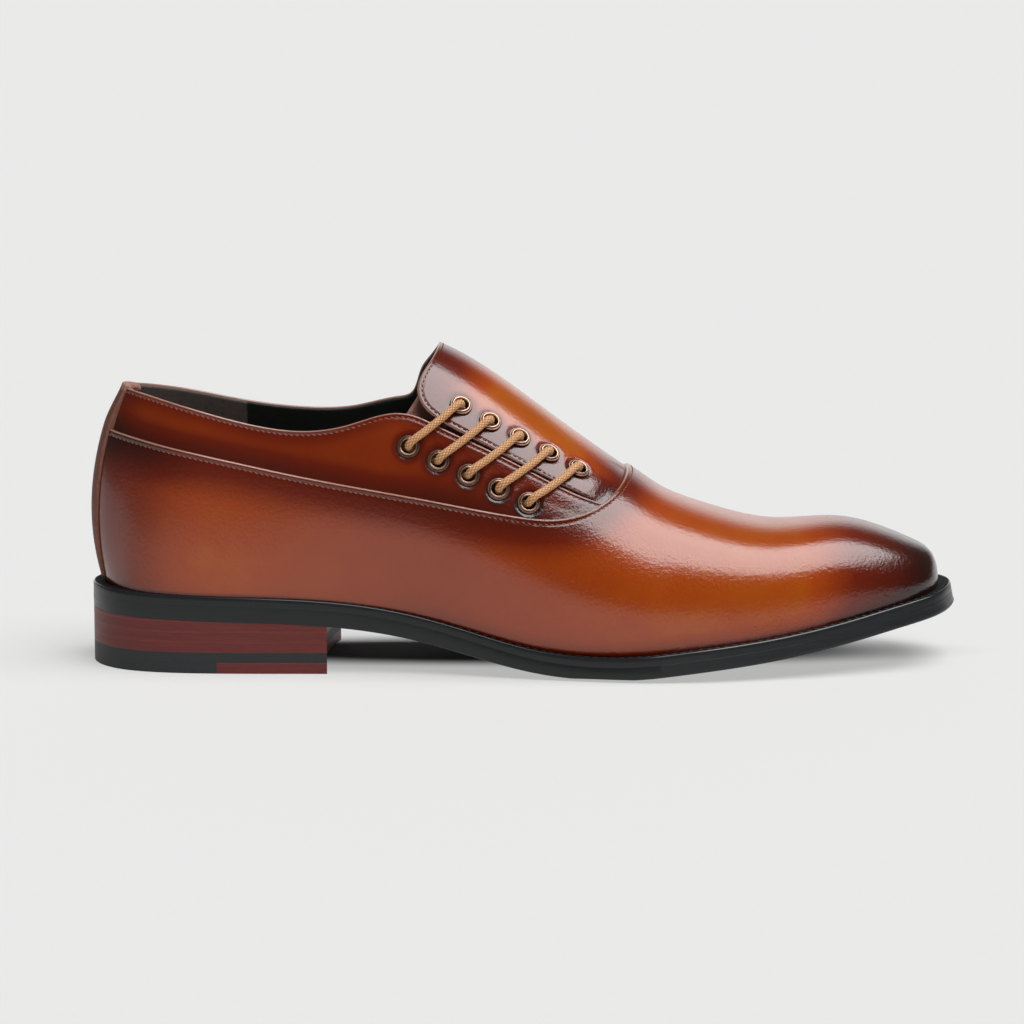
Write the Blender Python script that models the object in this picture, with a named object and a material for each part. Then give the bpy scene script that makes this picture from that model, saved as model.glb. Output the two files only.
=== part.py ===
"""Right-foot side-laced dress shoe, built as an assembly of separate solids.

Units are metres. +X points to the toe, -Y to the outer (lateral) side and +Z up.
The origin is on the floor, under the middle of the shoe.
"""

import math
from collections import namedtuple

import bmesh
import bpy
import numpy as np
from mathutils import Vector

MM = 0.001

# Driving dimensions
LENGTH = 302 * MM
BALL_WIDTH = 100 * MM
INSTEP = 112 * MM
GAP = 0.3 * MM

# Leather of the upper
WALL = 1.8 * MM
OVERLAY = 1.2 * MM
BACKSTAY = 0.7 * MM
BACKSTAY_HALF = 6.2 * MM
TONGUE = 1.4 * MM
TONGUE_RISE = 9 * MM
TONGUE_HALF = 17 * MM
TONGUE_SLANT = 2.5 * MM
TONGUE_BEHIND = 8 * MM
TONGUE_AHEAD = 4 * MM

# Sole and heel
WELT = 3.2 * MM
SOLE = 8.6 * MM
SOLE_EDGE_BEVEL = 0.8 * MM
HEEL_EDGE_BEVEL = 0.1 * MM
TREAD_EDGE = 0.9 * MM
TREAD_INSET = 7 * MM
TREAD_BLEND = 20 * MM
TOE_FLARE = 1.5 * MM
INSOLE_ABOVE_WELT = 1.8 * MM
BREAST_X = -67.5 * MM
BREAST_HOLLOW = 3.0 * MM
BREAST_SLANT = 1.8 * MM
BREAST_BLEND = 10 * MM
RUBBER_END_X = -105.5 * MM
TOP_PIECE = 3.8 * MM
BLACK_LIFT_TOP = 7.3 * MM
HEEL_LIFT = 3.6 * MM

# Eyelets and lace
EYELETS = 5
BORE = 2.4 * MM
BARREL = 2.75 * MM
FLANGE = 3.9 * MM
LACE = 1.4 * MM

# Sections of the last, heel to toe. along and spine are percentages of LENGTH from the heel end:
# where the section's foot and its crown stand. lateral, medial and crown_y are percentages of
# BALL_WIDTH from the long axis, rise is a percentage of INSTEP above the welt, roundness is the
# exponent of the section's superellipse, and swell is how far the wall bellies out, in millimetres.
Section = namedtuple("Section", "name along lateral medial spine crown_y rise roundness swell")
LAST = (
    Section("heel_back", 1.8, 0.0, 0.0, 16.2, 0.0, 89.1, 2.38, 4.6),
    Section("heel_turn", 3.6, 15.8, 15.8, 16.8, 0.0, 89.3, 2.1, -0.4),
    Section("heel_side", 8.4, 26.5, 26.5, 18.0, 0.0, 89.9, 1.88, -1.2),
    Section("seat", 16.9, 29.8, 29.3, 20.0, 0.0, 89.5, 1.82, -1.0),
    Section("shank", 28.1, 30.5, 28.0, 28.3, 5.0, 85.0, 2.08, 1.0),
    Section("waist", 40.1, 33.5, 26.5, 40.1, 14.0, 81.3, 2.45, 4.1),
    Section("instep", 51.3, 40.0, 31.5, 51.3, 8.9, 70.6, 2.34, 3.5),
    Section("joint", 61.9, 45.0, 39.5, 61.9, 5.6, 51.8, 2.37, 2.4),
    Section("tread", 66.6, 45.0, 41.8, 66.6, 2.8, 42.4, 2.56, 0.8),
    Section("ball", 71.9, 43.3, 42.8, 71.9, 1.0, 35.5, 2.68, 0.0),
    Section("vamp", 79.1, 38.2, 40.2, 79.1, 0.2, 28.9, 2.77, -0.4),
    Section("toe_box", 86.4, 31.2, 35.0, 86.4, 1.0, 26.0, 2.71, -0.1),
    Section("toe_side", 92.1, 25.0, 30.0, 92.1, 2.2, 19.15, 2.6, 0.3),
    Section("toe_turn", 95.4, 18.5, 24.8, 95.4, 2.8, 13.6, 2.49, 0.6),
    Section("toe_front", 97.4, 9.0, 16.0, 97.4, 3.2, 8.8, 2.33, 0.9),
    Section("toe_tip", 98.0, -3.5, 3.5, 98.0, 3.5, 0.0, 2.35, 0.0),
)
TIP = len(LAST) - 1

# Outline of the welt's upper edge at the same sections, in the same percentages.
Outline = namedtuple("Outline", "name along lateral medial")
SOLE_OUTLINE = (
    Outline("heel_back", 0.0, 0.0, 0.0),
    Outline("heel_turn", 1.8, 17.5, 17.5),
    Outline("heel_side", 7.1, 29.0, 29.0),
    Outline("seat", 16.6, 32.8, 32.2),
    Outline("shank", 28.1, 33.2, 31.0),
    Outline("waist", 40.1, 36.2, 29.5),
    Outline("instep", 51.3, 43.5, 34.5),
    Outline("joint", 61.9, 49.5, 43.3),
    Outline("tread", 66.6, 49.8, 46.2),
    Outline("ball", 71.9, 48.3, 47.5),
    Outline("vamp", 79.1, 43.0, 45.0),
    Outline("toe_box", 86.8, 35.6, 39.4),
    Outline("toe_side", 92.9, 28.0, 33.5),
    Outline("toe_turn", 97.0, 20.5, 26.8),
    Outline("toe_front", 99.1, 9.5, 16.5),
    Outline("toe_tip", 99.85, -3.5, 3.5),
)

# Height of the welt's upper face along the shoe, with along as above and top in millimetres.
Profile = namedtuple("Profile", "along top")
WELT_TOP = (
    Profile(0.0, 28.0),
    Profile(13.6, 26.7),
    Profile(28.1, 24.9),
    Profile(36.1, 21.6),
    Profile(43.4, 16.2),
    Profile(50.0, 11.0),
    Profile(56.6, 8.4),
    Profile(61.9, 8.5),
    Profile(69.9, 11.0),
    Profile(79.1, 14.4),
    Profile(87.1, 18.9),
    Profile(93.0, 22.9),
    Profile(100.0, 27.2),
)

# Edges of the upper as seen from the side, in millimetres. QUARTER_EDGE is the outer collar and the
# lower lip of the lacing slit, FLAP_EDGE the slit's upper lip and the flap's rear edge, MEDIAL_EDGE
# the inner collar, and SEAM_EDGE the top of the lower panel.
Edge = namedtuple("Edge", "x z")
QUARTER_EDGE = (
    Edge(-165.0, 99.2),
    Edge(-141.0, 96.5),
    Edge(-117.0, 91.2),
    Edge(-94.0, 85.3),
    Edge(-76.0, 83.1),
    Edge(-62.0, 84.8),
    Edge(-52.0, 87.8),
    Edge(-43.5, 89.3),
    Edge(-38.0, 88.6),
    Edge(-30.0, 85.2),
    Edge(-16.6, 79.1),
    Edge(-4.0, 73.0),
    Edge(10.0, 65.8),
    Edge(20.0, 61.2),
    Edge(26.4, 58.9),
)
FLAP_EDGE = (
    Edge(26.9, 59.3),
    Edge(20.6, 61.9),
    Edge(9.6, 67.0),
    Edge(-16.6, 80.4),
    Edge(-29.0, 87.0),
    Edge(-34.0, 91.0),
    Edge(-36.4, 96.1),
    Edge(-35.0, 101.7),
    Edge(-31.4, 106.8),
    Edge(-28.6, 112.0),
    Edge(-27.4, 117.0),
)
MEDIAL_EDGE = (
    Edge(-165.0, 99.8),
    Edge(-141.0, 97.3),
    Edge(-117.0, 92.8),
    Edge(-97.0, 88.7),
    Edge(-76.0, 86.2),
    Edge(-60.0, 86.6),
    Edge(-44.5, 89.8),
    Edge(-39.8, 91.2),
    Edge(-37.9, 94.7),
    Edge(-35.8, 100.8),
    Edge(-32.0, 106.0),
    Edge(-28.6, 112.0),
    Edge(-27.4, 117.0),
)
SEAM_EDGE = (
    Edge(-165.0, 86.2),
    Edge(-143.0, 81.5),
    Edge(-120.0, 76.9),
    Edge(-73.0, 67.2),
    Edge(-30.0, 60.2),
    Edge(-2.0, 55.3),
    Edge(9.6, 54.2),
    Edge(18.1, 55.2),
    Edge(24.5, 57.5),
    Edge(30.7, 61.2),
    Edge(35.3, 65.8),
    Edge(37.9, 70.3),
    Edge(38.7, 78.0),
)
UPPER_EYELETS = (Edge(-21.4, 91.5), Edge(19.1, 69.9))
LOWER_EYELETS = (Edge(-39.4, 78.2), Edge(1.8, 59.7))
SLIT = (Edge(-33.0, 87.6), Edge(24.5, 59.4))

# The two collar cuts meet at this y, over the crown, and FAR is past the shoe's sides.
COLLAR_SPLIT_Y = 2.0 * MM
FAR = 90 * MM

# Moves the shoe so that the origin is under the middle of its bounding box.
CENTRE_SHIFT = Vector((-0.29, 1.17, 0.0)) * MM

Finish = namedtuple("Finish", "color roughness metallic")
TAN_LEATHER = Finish((0.36, 0.09, 0.018), 0.30, 0.0)
DARK_LEATHER = Finish((0.10, 0.02, 0.01), 0.35, 0.0)
LINING_LEATHER = Finish((0.02, 0.016, 0.015), 0.60, 0.0)
BLACK_SOLE = Finish((0.018, 0.018, 0.019), 0.40, 0.0)
HEEL_LEATHER = Finish((0.13, 0.035, 0.03), 0.50, 0.0)
RUBBER = Finish((0.015, 0.015, 0.016), 0.60, 0.0)
COPPER = Finish((0.30, 0.16, 0.10), 0.35, 1.0)
WAXED_CORD = Finish((0.58, 0.30, 0.12), 0.60, 0.0)


def cubic(knots, values, at, flat_start=False, flat_end=False):
    """Cubic spline through values at knots, read at the places in at. An end is flat or natural."""
    knots, values, at = (np.asarray(item, float) for item in (knots, values, at))
    step, rise = np.diff(knots), np.diff(values)
    count = len(knots)
    matrix, right = np.zeros((count, count)), np.zeros(count)
    for i in range(1, count - 1):
        matrix[i, i - 1 : i + 2] = step[i - 1], 2 * (step[i - 1] + step[i]), step[i]
        right[i] = 6 * (rise[i] / step[i] - rise[i - 1] / step[i - 1])
    matrix[0, 0] = matrix[-1, -1] = 1.0
    if flat_start:
        matrix[0, :2] = 2 * step[0], step[0]
        right[0] = 6 * rise[0] / step[0]
    if flat_end:
        matrix[-1, -2:] = step[-1], 2 * step[-1]
        right[-1] = -6 * rise[-1] / step[-1]
    bend = np.linalg.solve(matrix, right)
    i = np.clip(np.searchsorted(knots, at) - 1, 0, count - 2)
    a, b = (knots[i + 1] - at) / step[i], (at - knots[i]) / step[i]
    curve = ((a**3 - a) * bend[i] + (b**3 - b) * bend[i + 1]) * step[i] ** 2 / 6
    return a * values[i] + b * values[i + 1] + curve


def along_x(along):
    return (np.asarray(along, float) / 100 - 0.5) * LENGTH


def column(table, name, s):
    """One column of LAST or SOLE_OUTLINE as a smooth function of the section number s."""
    values = [getattr(row, name) for row in table]
    sideways = name in ("lateral", "medial")
    return cubic(range(len(table)), values, s, not sideways, not sideways and name != "rise")


def welt_top(x):
    """Height of the welt's upper face at x."""
    rows = np.array(WELT_TOP)
    return cubic(along_x(rows[:, 0]), rows[:, 1] * MM, x)


def sole_bottom(x):
    """Height of the outsole's underside at x, flat on the floor under the ball of the foot."""
    return np.maximum(welt_top(x) - SOLE, 0)


def smooth_edge(edge, spacing=4 * MM):
    """Points of a smooth curve through an edge's rows, as (x, z) pairs in metres."""
    rows = np.array(edge) * MM
    run = np.concatenate([[0], np.hypot(*np.diff(rows, axis=0).T).cumsum()])
    at = np.linspace(0, run[-1], round(run[-1] / spacing) + 1)
    return np.stack([cubic(run, rows[:, 0], at), cubic(run, rows[:, 1], at)], axis=-1)


def skin(s, q):
    """Points of the upper's base skin. s is the section number, and q runs from the lateral welt (0)
    over the crown (1) to the medial welt (2)."""
    s, q = np.broadcast_arrays(np.asarray(s, float), np.asarray(q, float))
    share = np.where(q <= 1, q, 2 - q)
    roundness = column(LAST, "roundness", s)
    low, high = share ** (roundness / 2), (1 - share) ** (roundness / 2)
    angle = math.pi / 2 * low / (low + high)
    inward, up = 1 - np.cos(angle) ** (2 / roundness), np.sin(angle) ** (2 / roundness)
    foot_x, spine_x = along_x(column(LAST, "along", s)), along_x(column(LAST, "spine", s))
    half = np.where(q <= 1, -column(LAST, "lateral", s), column(LAST, "medial", s))
    foot_y, crown_y = half * BALL_WIDTH / 100, column(LAST, "crown_y", s) * BALL_WIDTH / 100
    reach = np.hypot(spine_x - foot_x, crown_y - foot_y)
    belly = 6.75 * up * (1 - up) ** 2 * column(LAST, "swell", s) * MM
    inward = inward - belly / np.maximum(reach, 1 * MM)
    x = foot_x + (spine_x - foot_x) * inward
    y = foot_y + (crown_y - foot_y) * inward
    z = welt_top(foot_x) + GAP + column(LAST, "rise", s) * INSTEP / 100 * up
    return np.stack([x, y, z], axis=-1)


def lifted(s, q, lift):
    """Skin points moved outward by lift. The foot line keeps its height above the welt."""
    s, q, lift = np.broadcast_arrays(*(np.asarray(item, float) for item in (s, q, lift)))
    forward = skin(np.minimum(s + 0.02, TIP), q) - skin(np.maximum(s - 0.02, 0), q)
    around = skin(s, np.minimum(q + 0.01, 2)) - skin(s, np.maximum(q - 0.01, 0))
    normal = np.cross(forward, around)
    normal[(q <= 0) | (q >= 2), 2] = 0
    normal[s <= 0, 1] = 0
    normal[np.linalg.norm(normal, axis=-1) < 1e-12] = 0, 0, 1
    normal[s >= TIP] = 1, 0, 0
    normal /= np.linalg.norm(normal, axis=-1, keepdims=True)
    return skin(s, q) + normal * lift[..., None]


def lateral_place(x, z):
    """Section number and q of the lateral skin at x and height z."""
    numbers = np.linspace(3, TIP, 400)
    s = np.interp(x, along_x(column(LAST, "along", numbers)), numbers)
    shares = np.linspace(0, 1, 120)
    q = [np.interp(height, skin(number, shares)[:, 2], shares) for number, height in zip(s, z)]
    return s, np.array(q)


def even_sections(count, start=0.0, end=TIP):
    """Section numbers that divide the lateral welt line from start to end into equal runs."""
    s = np.linspace(start, end, 400)
    run = np.linalg.norm(np.diff(outline(s, 0), axis=0), axis=1).cumsum()
    return np.interp(np.linspace(0, run[-1], count + 1), np.concatenate([[0], run]), s)


def outline(s, q, outset=0.0):
    """Points (x, y) of the sole's outline, lateral where q is 0 and medial where it is 2."""
    s, q, outset = np.broadcast_arrays(*(np.asarray(item, float) for item in (s, q, outset)))

    def edge(number):
        lateral, medial = (column(SOLE_OUTLINE, name, number) for name in ("lateral", "medial"))
        y = np.where(q < 1, -lateral, medial) * BALL_WIDTH / 100
        return np.stack([along_x(column(SOLE_OUTLINE, "along", number)), y], axis=-1)

    tangent = edge(np.minimum(s + 0.02, TIP)) - edge(np.maximum(s - 0.02, 0))
    outward = np.stack([tangent[..., 1], -tangent[..., 0]], axis=-1) * np.where(q < 1, 1, -1)[..., None]
    outward[(s <= 0) | (s >= TIP), 1] = 0
    outward /= np.linalg.norm(outward, axis=-1, keepdims=True)
    return edge(s) + outward * outset[..., None]


def section_at(x):
    """Section number where the sole's outline passes x, for the stretch ahead of the heel's curve."""
    numbers = np.linspace(1, TIP, 800)
    return float(np.interp(x, along_x(column(SOLE_OUTLINE, "along", numbers)), numbers))


def round_trip(sections):
    """Section numbers and q from the heel along the lateral side to the toe and back."""
    s = np.concatenate([sections, sections[-2::-1]])
    return s, np.where(np.arange(len(s)) < len(sections), 0.0, 2.0)


def make_object(name, bm, finish, parent):
    """Object of a bmesh: doubled and loose points gone, faces outward, shaded smooth, with its material."""
    bmesh.ops.remove_doubles(bm, verts=bm.verts[:], dist=0.002 * MM)
    loose = [vert for vert in bm.verts if not vert.link_faces]
    bmesh.ops.delete(bm, geom=loose, context="VERTS")
    bmesh.ops.recalc_face_normals(bm, faces=bm.faces[:])
    mesh = bpy.data.meshes.new(name)
    bm.to_mesh(mesh)
    bm.free()
    mesh.shade_smooth()
    mesh.set_sharp_from_angle(angle=math.radians(40))
    mesh.materials.append(make_material(name, finish))
    item = bpy.data.objects.new(name, mesh)
    item.parent = parent
    bpy.context.scene.collection.objects.link(item)
    return item


def make_material(name, finish):
    material = bpy.data.materials.new(name)
    material.use_nodes = True
    shader = material.node_tree.nodes["Principled BSDF"]
    shader.inputs["Base Color"].default_value = (*finish.color, 1.0)
    shader.inputs["Roughness"].default_value = finish.roughness
    shader.inputs["Metallic"].default_value = finish.metallic
    return material


def add_strip(bm, first, second):
    """Faces between two rows of vertices."""
    for a, b, c, d in zip(first, first[1:], second[1:], second):
        bm.faces.new((a, b, c, d))


def stack_of_grids(grids, start_wall=True, end_wall=True):
    """Closed bmesh through two or more grids of points of one shape: the first and the last are its
    faces, and walls join their edges."""
    bm = bmesh.new()
    levels = [[[bm.verts.new(point) for point in row] for row in grid] for grid in grids]
    for grid in (levels[0], levels[-1]):
        for row, following in zip(grid, grid[1:]):
            add_strip(bm, row, following)
    for upper, lower in zip(levels, levels[1:]):
        for side in (0, -1):
            add_strip(bm, [row[side] for row in upper], [row[side] for row in lower])
        if start_wall:
            add_strip(bm, upper[0], lower[0])
        if end_wall:
            add_strip(bm, upper[-1], lower[-1])
    return bm


def prism(name, corners, y_from, y_to, parent):
    """Straight solid along Y over an outline of (x, z) corners."""
    bm = bmesh.new()
    ends = [[bm.verts.new((x, y, z)) for x, z in corners] for y in (y_from, y_to)]
    for end in ends:
        bm.faces.new(end)
    add_strip(bm, ends[0] + ends[0][:1], ends[1] + ends[1][:1])
    return make_object(name, bm, TAN_LEATHER, parent)


def carve(target, tool, operation="DIFFERENCE"):
    """Boolean of target with tool, which stays in the file as a hidden wire object."""
    modifier = target.modifiers.new(f"{operation} {tool.name}", "BOOLEAN")
    modifier.operation = operation
    modifier.solver = "EXACT"
    modifier.object = tool
    tool.hide_render = True
    tool.display_type = "WIRE"


def eyelet_places():
    """Centre and outward normal of each eyelet, by row name, collar to toe."""
    places = {}
    for row, (first, last) in (("upper", UPPER_EYELETS), ("lower", LOWER_EYELETS)):
        spots = np.linspace(first, last, EYELETS) * MM
        s, q = lateral_place(spots[:, 0], spots[:, 1])
        centres = skin(s, q)
        places[row] = list(zip(centres, (lifted(s, q, MM) - centres) / MM))
    return places


def build_upper(parent, places):
    """Hollow upper on the last: a shell of the lower panel's full thickness, stepped down above the
    seam, then opened at the collar, the lacing slit and the eyelets."""
    sections, around = even_sections(42)[:, None], np.linspace(0, 2, 25)[None, :]
    faces = [lifted(sections, around, lift) for lift in (OVERLAY, -WALL)]
    upper = make_object("upper", stack_of_grids(faces, False, False), TAN_LEATHER, parent)
    faces = [lifted(sections, around, lift) for lift in (3 * OVERLAY, 0)]
    step = make_object("step_tool", stack_of_grids(faces, False, False), TAN_LEATHER, parent)
    seam = smooth_edge(SEAM_EDGE)
    above = [(seam[-1][0], 2 * INSTEP), (seam[0][0], 2 * INSTEP)]
    carve(step, prism("seam_tool", [*seam, *above], -FAR, FAR, parent), "INTERSECT")
    carve(upper, step)
    flap, quarter, medial = (smooth_edge(edge) for edge in (FLAP_EDGE, QUARTER_EDGE, MEDIAL_EDGE))
    over = [(flap[-1][0], 2 * INSTEP), (quarter[0][0], 2 * INSTEP)]
    carve(upper, prism("lateral_tool", [*quarter, *flap, *over], -FAR, COLLAR_SPLIT_Y, parent))
    carve(upper, prism("medial_tool", [*medial, *over], COLLAR_SPLIT_Y - GAP, FAR, parent))
    carve(upper, build_hole_tool(parent, places))


def build_hole_tool(parent, places):
    """Cylinders that clear the eyelets' barrels."""
    bm = bmesh.new()
    for centre, normal in places["upper"] + places["lower"]:
        turn = Vector(normal).to_track_quat("Z", "Y").to_matrix().to_4x4()
        turn.translation = centre
        bmesh.ops.create_cone(bm, cap_ends=True, segments=12, depth=12 * MM, matrix=turn,
                              radius1=BARREL + GAP, radius2=BARREL + GAP)
    return make_object("hole_tool", bm, COPPER, parent)


def build_backstay(parent):
    """Strip up the middle of the heel, over the lower panel and, above the seam, down on the base."""
    shares = np.linspace(0, 1, 200)
    heights = skin(0, shares)[:, 2]
    seam_z = np.interp(-LENGTH / 2, *smooth_edge(SEAM_EDGE).T) + 2 * GAP
    low = np.linspace(heights[0] + OVERLAY, seam_z, 9)
    high = np.linspace(seam_z + 0.1 * MM, QUARTER_EDGE[1].z * MM - GAP, 4)
    across = np.linspace(-1, 1, 7)
    widths = np.linspace(0, 1.5, 60)
    reach = np.interp(BACKSTAY_HALF, column(LAST, "lateral", widths) * BALL_WIDTH / 100, widths)
    share = np.interp(np.concatenate([low, high]), heights, shares)[:, None]
    q = np.where(across < 0, share, 2 - share)
    base = np.where(np.arange(len(share)) < len(low), OVERLAY + GAP, GAP)[:, None]
    top = np.interp(share, share[[len(low), -1], 0], (OVERLAY + GAP + BACKSTAY, GAP + BACKSTAY))
    faces = [lifted(np.abs(across) * reach, q, lift) for lift in (top, base)]
    make_object("backstay", stack_of_grids(faces), DARK_LEATHER, parent)


def build_tongue(parent):
    """Leather leaf under the lacing slit, below the hidden lace and rising to the vamp in front."""
    start, end = (np.array(edge) * MM for edge in SLIT)
    length = np.linalg.norm(end - start)
    ahead = (end - start) / length
    across = np.array([-ahead[1], ahead[0]])
    run = np.linspace(-TONGUE_BEHIND, length + TONGUE_AHEAD, 13)
    sideways = np.linspace(-TONGUE_HALF, TONGUE_HALF, 9)
    slant = TONGUE_SLANT * np.linspace(1, 0, len(run))[:, None] * (sideways / TONGUE_HALF)
    spots = start + (run[:, None] + slant)[..., None] * ahead + sideways[None, :, None] * across
    s, q = lateral_place(spots[..., 0].ravel(), spots[..., 1].ravel())
    s, q = s.reshape(spots.shape[:2]), q.reshape(spots.shape[:2])
    under_wall, under_lace = -WALL - GAP, -WALL - 3 * GAP - 2 * LACE
    lift = np.interp(run, (run[-1] - TONGUE_RISE, run[-1]), (under_lace, under_wall))[:, None]
    faces = [lifted(s, q, lift - depth) for depth in (0, TONGUE)]
    make_object("tongue", stack_of_grids(faces), DARK_LEATHER, parent)


def build_plate(name, sections, levels, finish, parent, columns=2):
    """Solid between outlines of the sole. Each level is an outset and a height as a function of x, top
    first. A plate that ends at the heel's breast has that edge hollow and further forward inside."""
    share = np.linspace(0, 1, columns + 1)[None, :, None]
    grids = []
    for outset, height in levels:
        lateral, medial = (outline(sections, q, outset)[:, None, :] for q in (0, 2))
        flat = lateral * (1 - share) + medial * share
        if sections[-1] < TIP:
            near_breast = np.clip((flat[..., :1] - BREAST_X) / BREAST_BLEND + 1, 0, 1)
            shift = BREAST_SLANT * share - BREAST_HOLLOW * 4 * share * (1 - share)
            flat[..., :1] += near_breast * shift
        grids.append(np.concatenate([flat, height(flat[..., 0])[..., None]], axis=-1))
    bm = stack_of_grids(grids, sections[0] > 0, sections[-1] < TIP)
    make_object(name, bm, finish, parent)


def build_sole(parent):
    """Outsole with toe spring, arch and a flare towards the toe, the welt around it and the insole."""
    sections = even_sections(44)

    def flare(s):
        return TOE_FLARE * np.clip(np.asarray(s) / TIP, 0, 1) ** 2

    def edge_bevel(x):
        return np.interp(x, (BREAST_X, 0), (HEEL_EDGE_BEVEL, SOLE_EDGE_BEVEL))

    def tread_edge(x):
        """How far the side of the sole ends above its tread, which is rounded off ahead of the arch."""
        return np.interp(x, (-TREAD_BLEND, TREAD_BLEND), (0, TREAD_EDGE))

    bevels = edge_bevel(outline(sections, 0)[:, 0])
    levels = (
        (0.4 * flare(sections), lambda x: welt_top(x) - WELT - GAP),
        (flare(sections), lambda x: sole_bottom(x) + tread_edge(x) + edge_bevel(x)),
        (flare(sections) - bevels, lambda x: sole_bottom(x) + tread_edge(x)),
        (flare(sections) - TREAD_INSET, sole_bottom),
    )
    build_plate("outsole", sections, levels, BLACK_SOLE, parent)

    s, q = round_trip(sections)
    inner = lifted(s, q, -WALL)[:, :2]
    rings = []
    for outset, depth in ((0.0, 0.0), (0.35 * flare(s), WELT)):
        ring = np.stack([outline(s, q, outset), inner], axis=1)
        rings.append(np.concatenate([ring, welt_top(ring[..., :1]) - depth], axis=-1))
    make_object("welt", stack_of_grids(rings, False, False), BLACK_SOLE, parent)

    grids = []
    for height in (INSOLE_ABOVE_WELT, -WELT):
        sides = [lifted(sections, edge, -WALL - 1.2 * GAP)[:, None, :2] for edge in (0, 2)]
        flat = np.concatenate([sides[0], (sides[0] + sides[1]) / 2, sides[1]], axis=1)
        grids.append(np.concatenate([flat, welt_top(flat[..., :1]) + height], axis=-1))
    make_object("insole", stack_of_grids(grids, False, False), LINING_LEATHER, parent)


def build_heel(parent):
    """Stacked heel: leather lifts under the outsole, a black lift, and a top piece in two halves."""
    breast = section_at(BREAST_X)
    sections = even_sections(14, 0.0, breast)

    def level(z):
        return 0.0, lambda x: np.full_like(x, z)

    tops = [BLACK_LIFT_TOP + HEEL_LIFT * i for i in range(3)]
    under_sole = (0.0, lambda x: sole_bottom(x) - GAP)
    layers = [
        ("heel_lift_1", under_sole, level(tops[2] + GAP), HEEL_LEATHER),
        ("heel_lift_2", level(tops[2]), level(tops[1] + GAP), HEEL_LEATHER),
        ("heel_lift_3", level(tops[1]), level(tops[0] + GAP), HEEL_LEATHER),
        ("heel_black_lift", level(tops[0]), level(TOP_PIECE + GAP), BLACK_SOLE),
    ]
    for name, upper, lower, finish in layers:
        build_plate(name, sections, (upper, lower), finish, parent, 6)
    split = section_at(RUBBER_END_X)
    halves = (
        ("top_piece_rubber", even_sections(10, 0.0, split), RUBBER),
        ("top_piece_leather", even_sections(5, section_at(RUBBER_END_X + GAP), breast), HEEL_LEATHER),
    )
    for name, part_sections, finish in halves:
        levels = (level(TOP_PIECE), level(0.0))
        build_plate(name, part_sections, levels, finish, parent, 6)


def build_eyelets(parent, places):
    """Metal eyelets: a barrel through the wall and a rounded flange on the skin."""
    profile = (
        (BORE, -WALL + 0.1 * MM),
        (BORE, 0.45 * MM),
        (BORE + 0.35 * MM, 0.9 * MM),
        (BORE + 0.85 * MM, 1.05 * MM),
        (FLANGE, 0.35 * MM),
        (BARREL, 0.35 * MM),
        (BARREL, -WALL + 0.1 * MM),
    )
    for row, spots in places.items():
        for number, (centre, normal) in enumerate(spots, 1):
            bm = bmesh.new()
            ring = [bm.verts.new((radius, 0, height)) for radius, height in profile]
            edges = [bm.edges.new(pair) for pair in zip(ring, ring[1:] + ring[:1])]
            bmesh.ops.spin(bm, geom=ring + edges, cent=(0, 0, 0), axis=(0, 0, 1), steps=12,
                           angle=2 * math.pi, use_merge=True)
            eyelet = make_object(f"eyelet_{row}_{number}", bm, COPPER, parent)
            eyelet.location = centre
            eyelet.rotation_euler = Vector(normal).to_track_quat("Z", "Y").to_euler()


def lace_route(places):
    """Points of the lace: straight bars over the slit, joined by hidden runs along each side."""
    inside, over, bar_lift = -WALL - GAP - LACE, 2.65 * MM, 2.4 * MM

    def through(place, bar_way, run_way):
        """From under the wall, up through an eyelet and over onto its bar."""
        centre, normal = place
        steps = ((inside, run_way, 2.6), (inside + MM, run_way, 0.7), (-0.4 * MM, bar_way, 0.0),
                 (MM, bar_way, 0.2), (2.2 * MM, bar_way, 0.9), (over, bar_way, 2.7))
        return [centre + normal * lift + way * distance * MM for lift, way, distance in steps]

    def flat_way(place, target):
        """Unit direction along the skin from an eyelet to another point."""
        centre, normal = place
        way = target - centre
        way = way - normal * way.dot(normal)
        return way / np.linalg.norm(way)

    def on_skin(first, last, shares, lift, drop=0.0):
        """Points between two eyelets that follow the skin, drop being a shift down its side."""
        spots = [first + (last - first) * share for share in shares]
        s, q = lateral_place(*zip(*[(x, z - drop) for x, _, z in spots]))
        return list(lifted(s, q, lift))

    def eyelet(row, number):
        return places[row][number - 1]

    def bar(number, start, run_from, run_to):
        """One bar from the start row to the other. The runs give the rows' hidden directions."""
        end = "lower" if start == "upper" else "upper"
        a, b = eyelet(start, number), eyelet(end, number)
        up = through(a, flat_way(a, b[0]), flat_way(a, run_from))
        down = through(b, flat_way(b, a[0]), flat_way(b, run_to))
        return up + on_skin(a[0], b[0], (0.32, 0.5, 0.68), bar_lift) + down[::-1]

    def centre(row, number):
        return eyelet(row, number)[0]

    side_step = {"upper": -4.2 * MM, "lower": 4.2 * MM}

    def run(row, first, last):
        """Hidden stretch along one row, past the eyelet between them where there is one."""
        shares = (0.35, 0.5, 0.65) if abs(first - last) > 1 else (0.5,)
        drop = side_step[row] if abs(first - last) > 1 else 0.0
        return on_skin(centre(row, first), centre(row, last), shares, inside, drop)

    tail = on_skin(centre("lower", 2), centre("lower", 1), (0.45,), inside)
    tip = on_skin(centre("upper", 1), centre("upper", 2), (0.45,), inside)
    return [
        *tail,
        *bar(2, "lower", tail[0], centre("upper", 4)),
        *run("upper", 2, 4),
        *bar(4, "upper", centre("upper", 2), centre("lower", 5)),
        *run("lower", 4, 5),
        *bar(5, "lower", centre("lower", 4), centre("upper", 3)),
        *run("upper", 5, 3),
        *bar(3, "upper", centre("upper", 5), centre("lower", 1)),
        *run("lower", 3, 1),
        *bar(1, "lower", centre("lower", 3), tip[0]),
        *tip,
    ]


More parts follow.
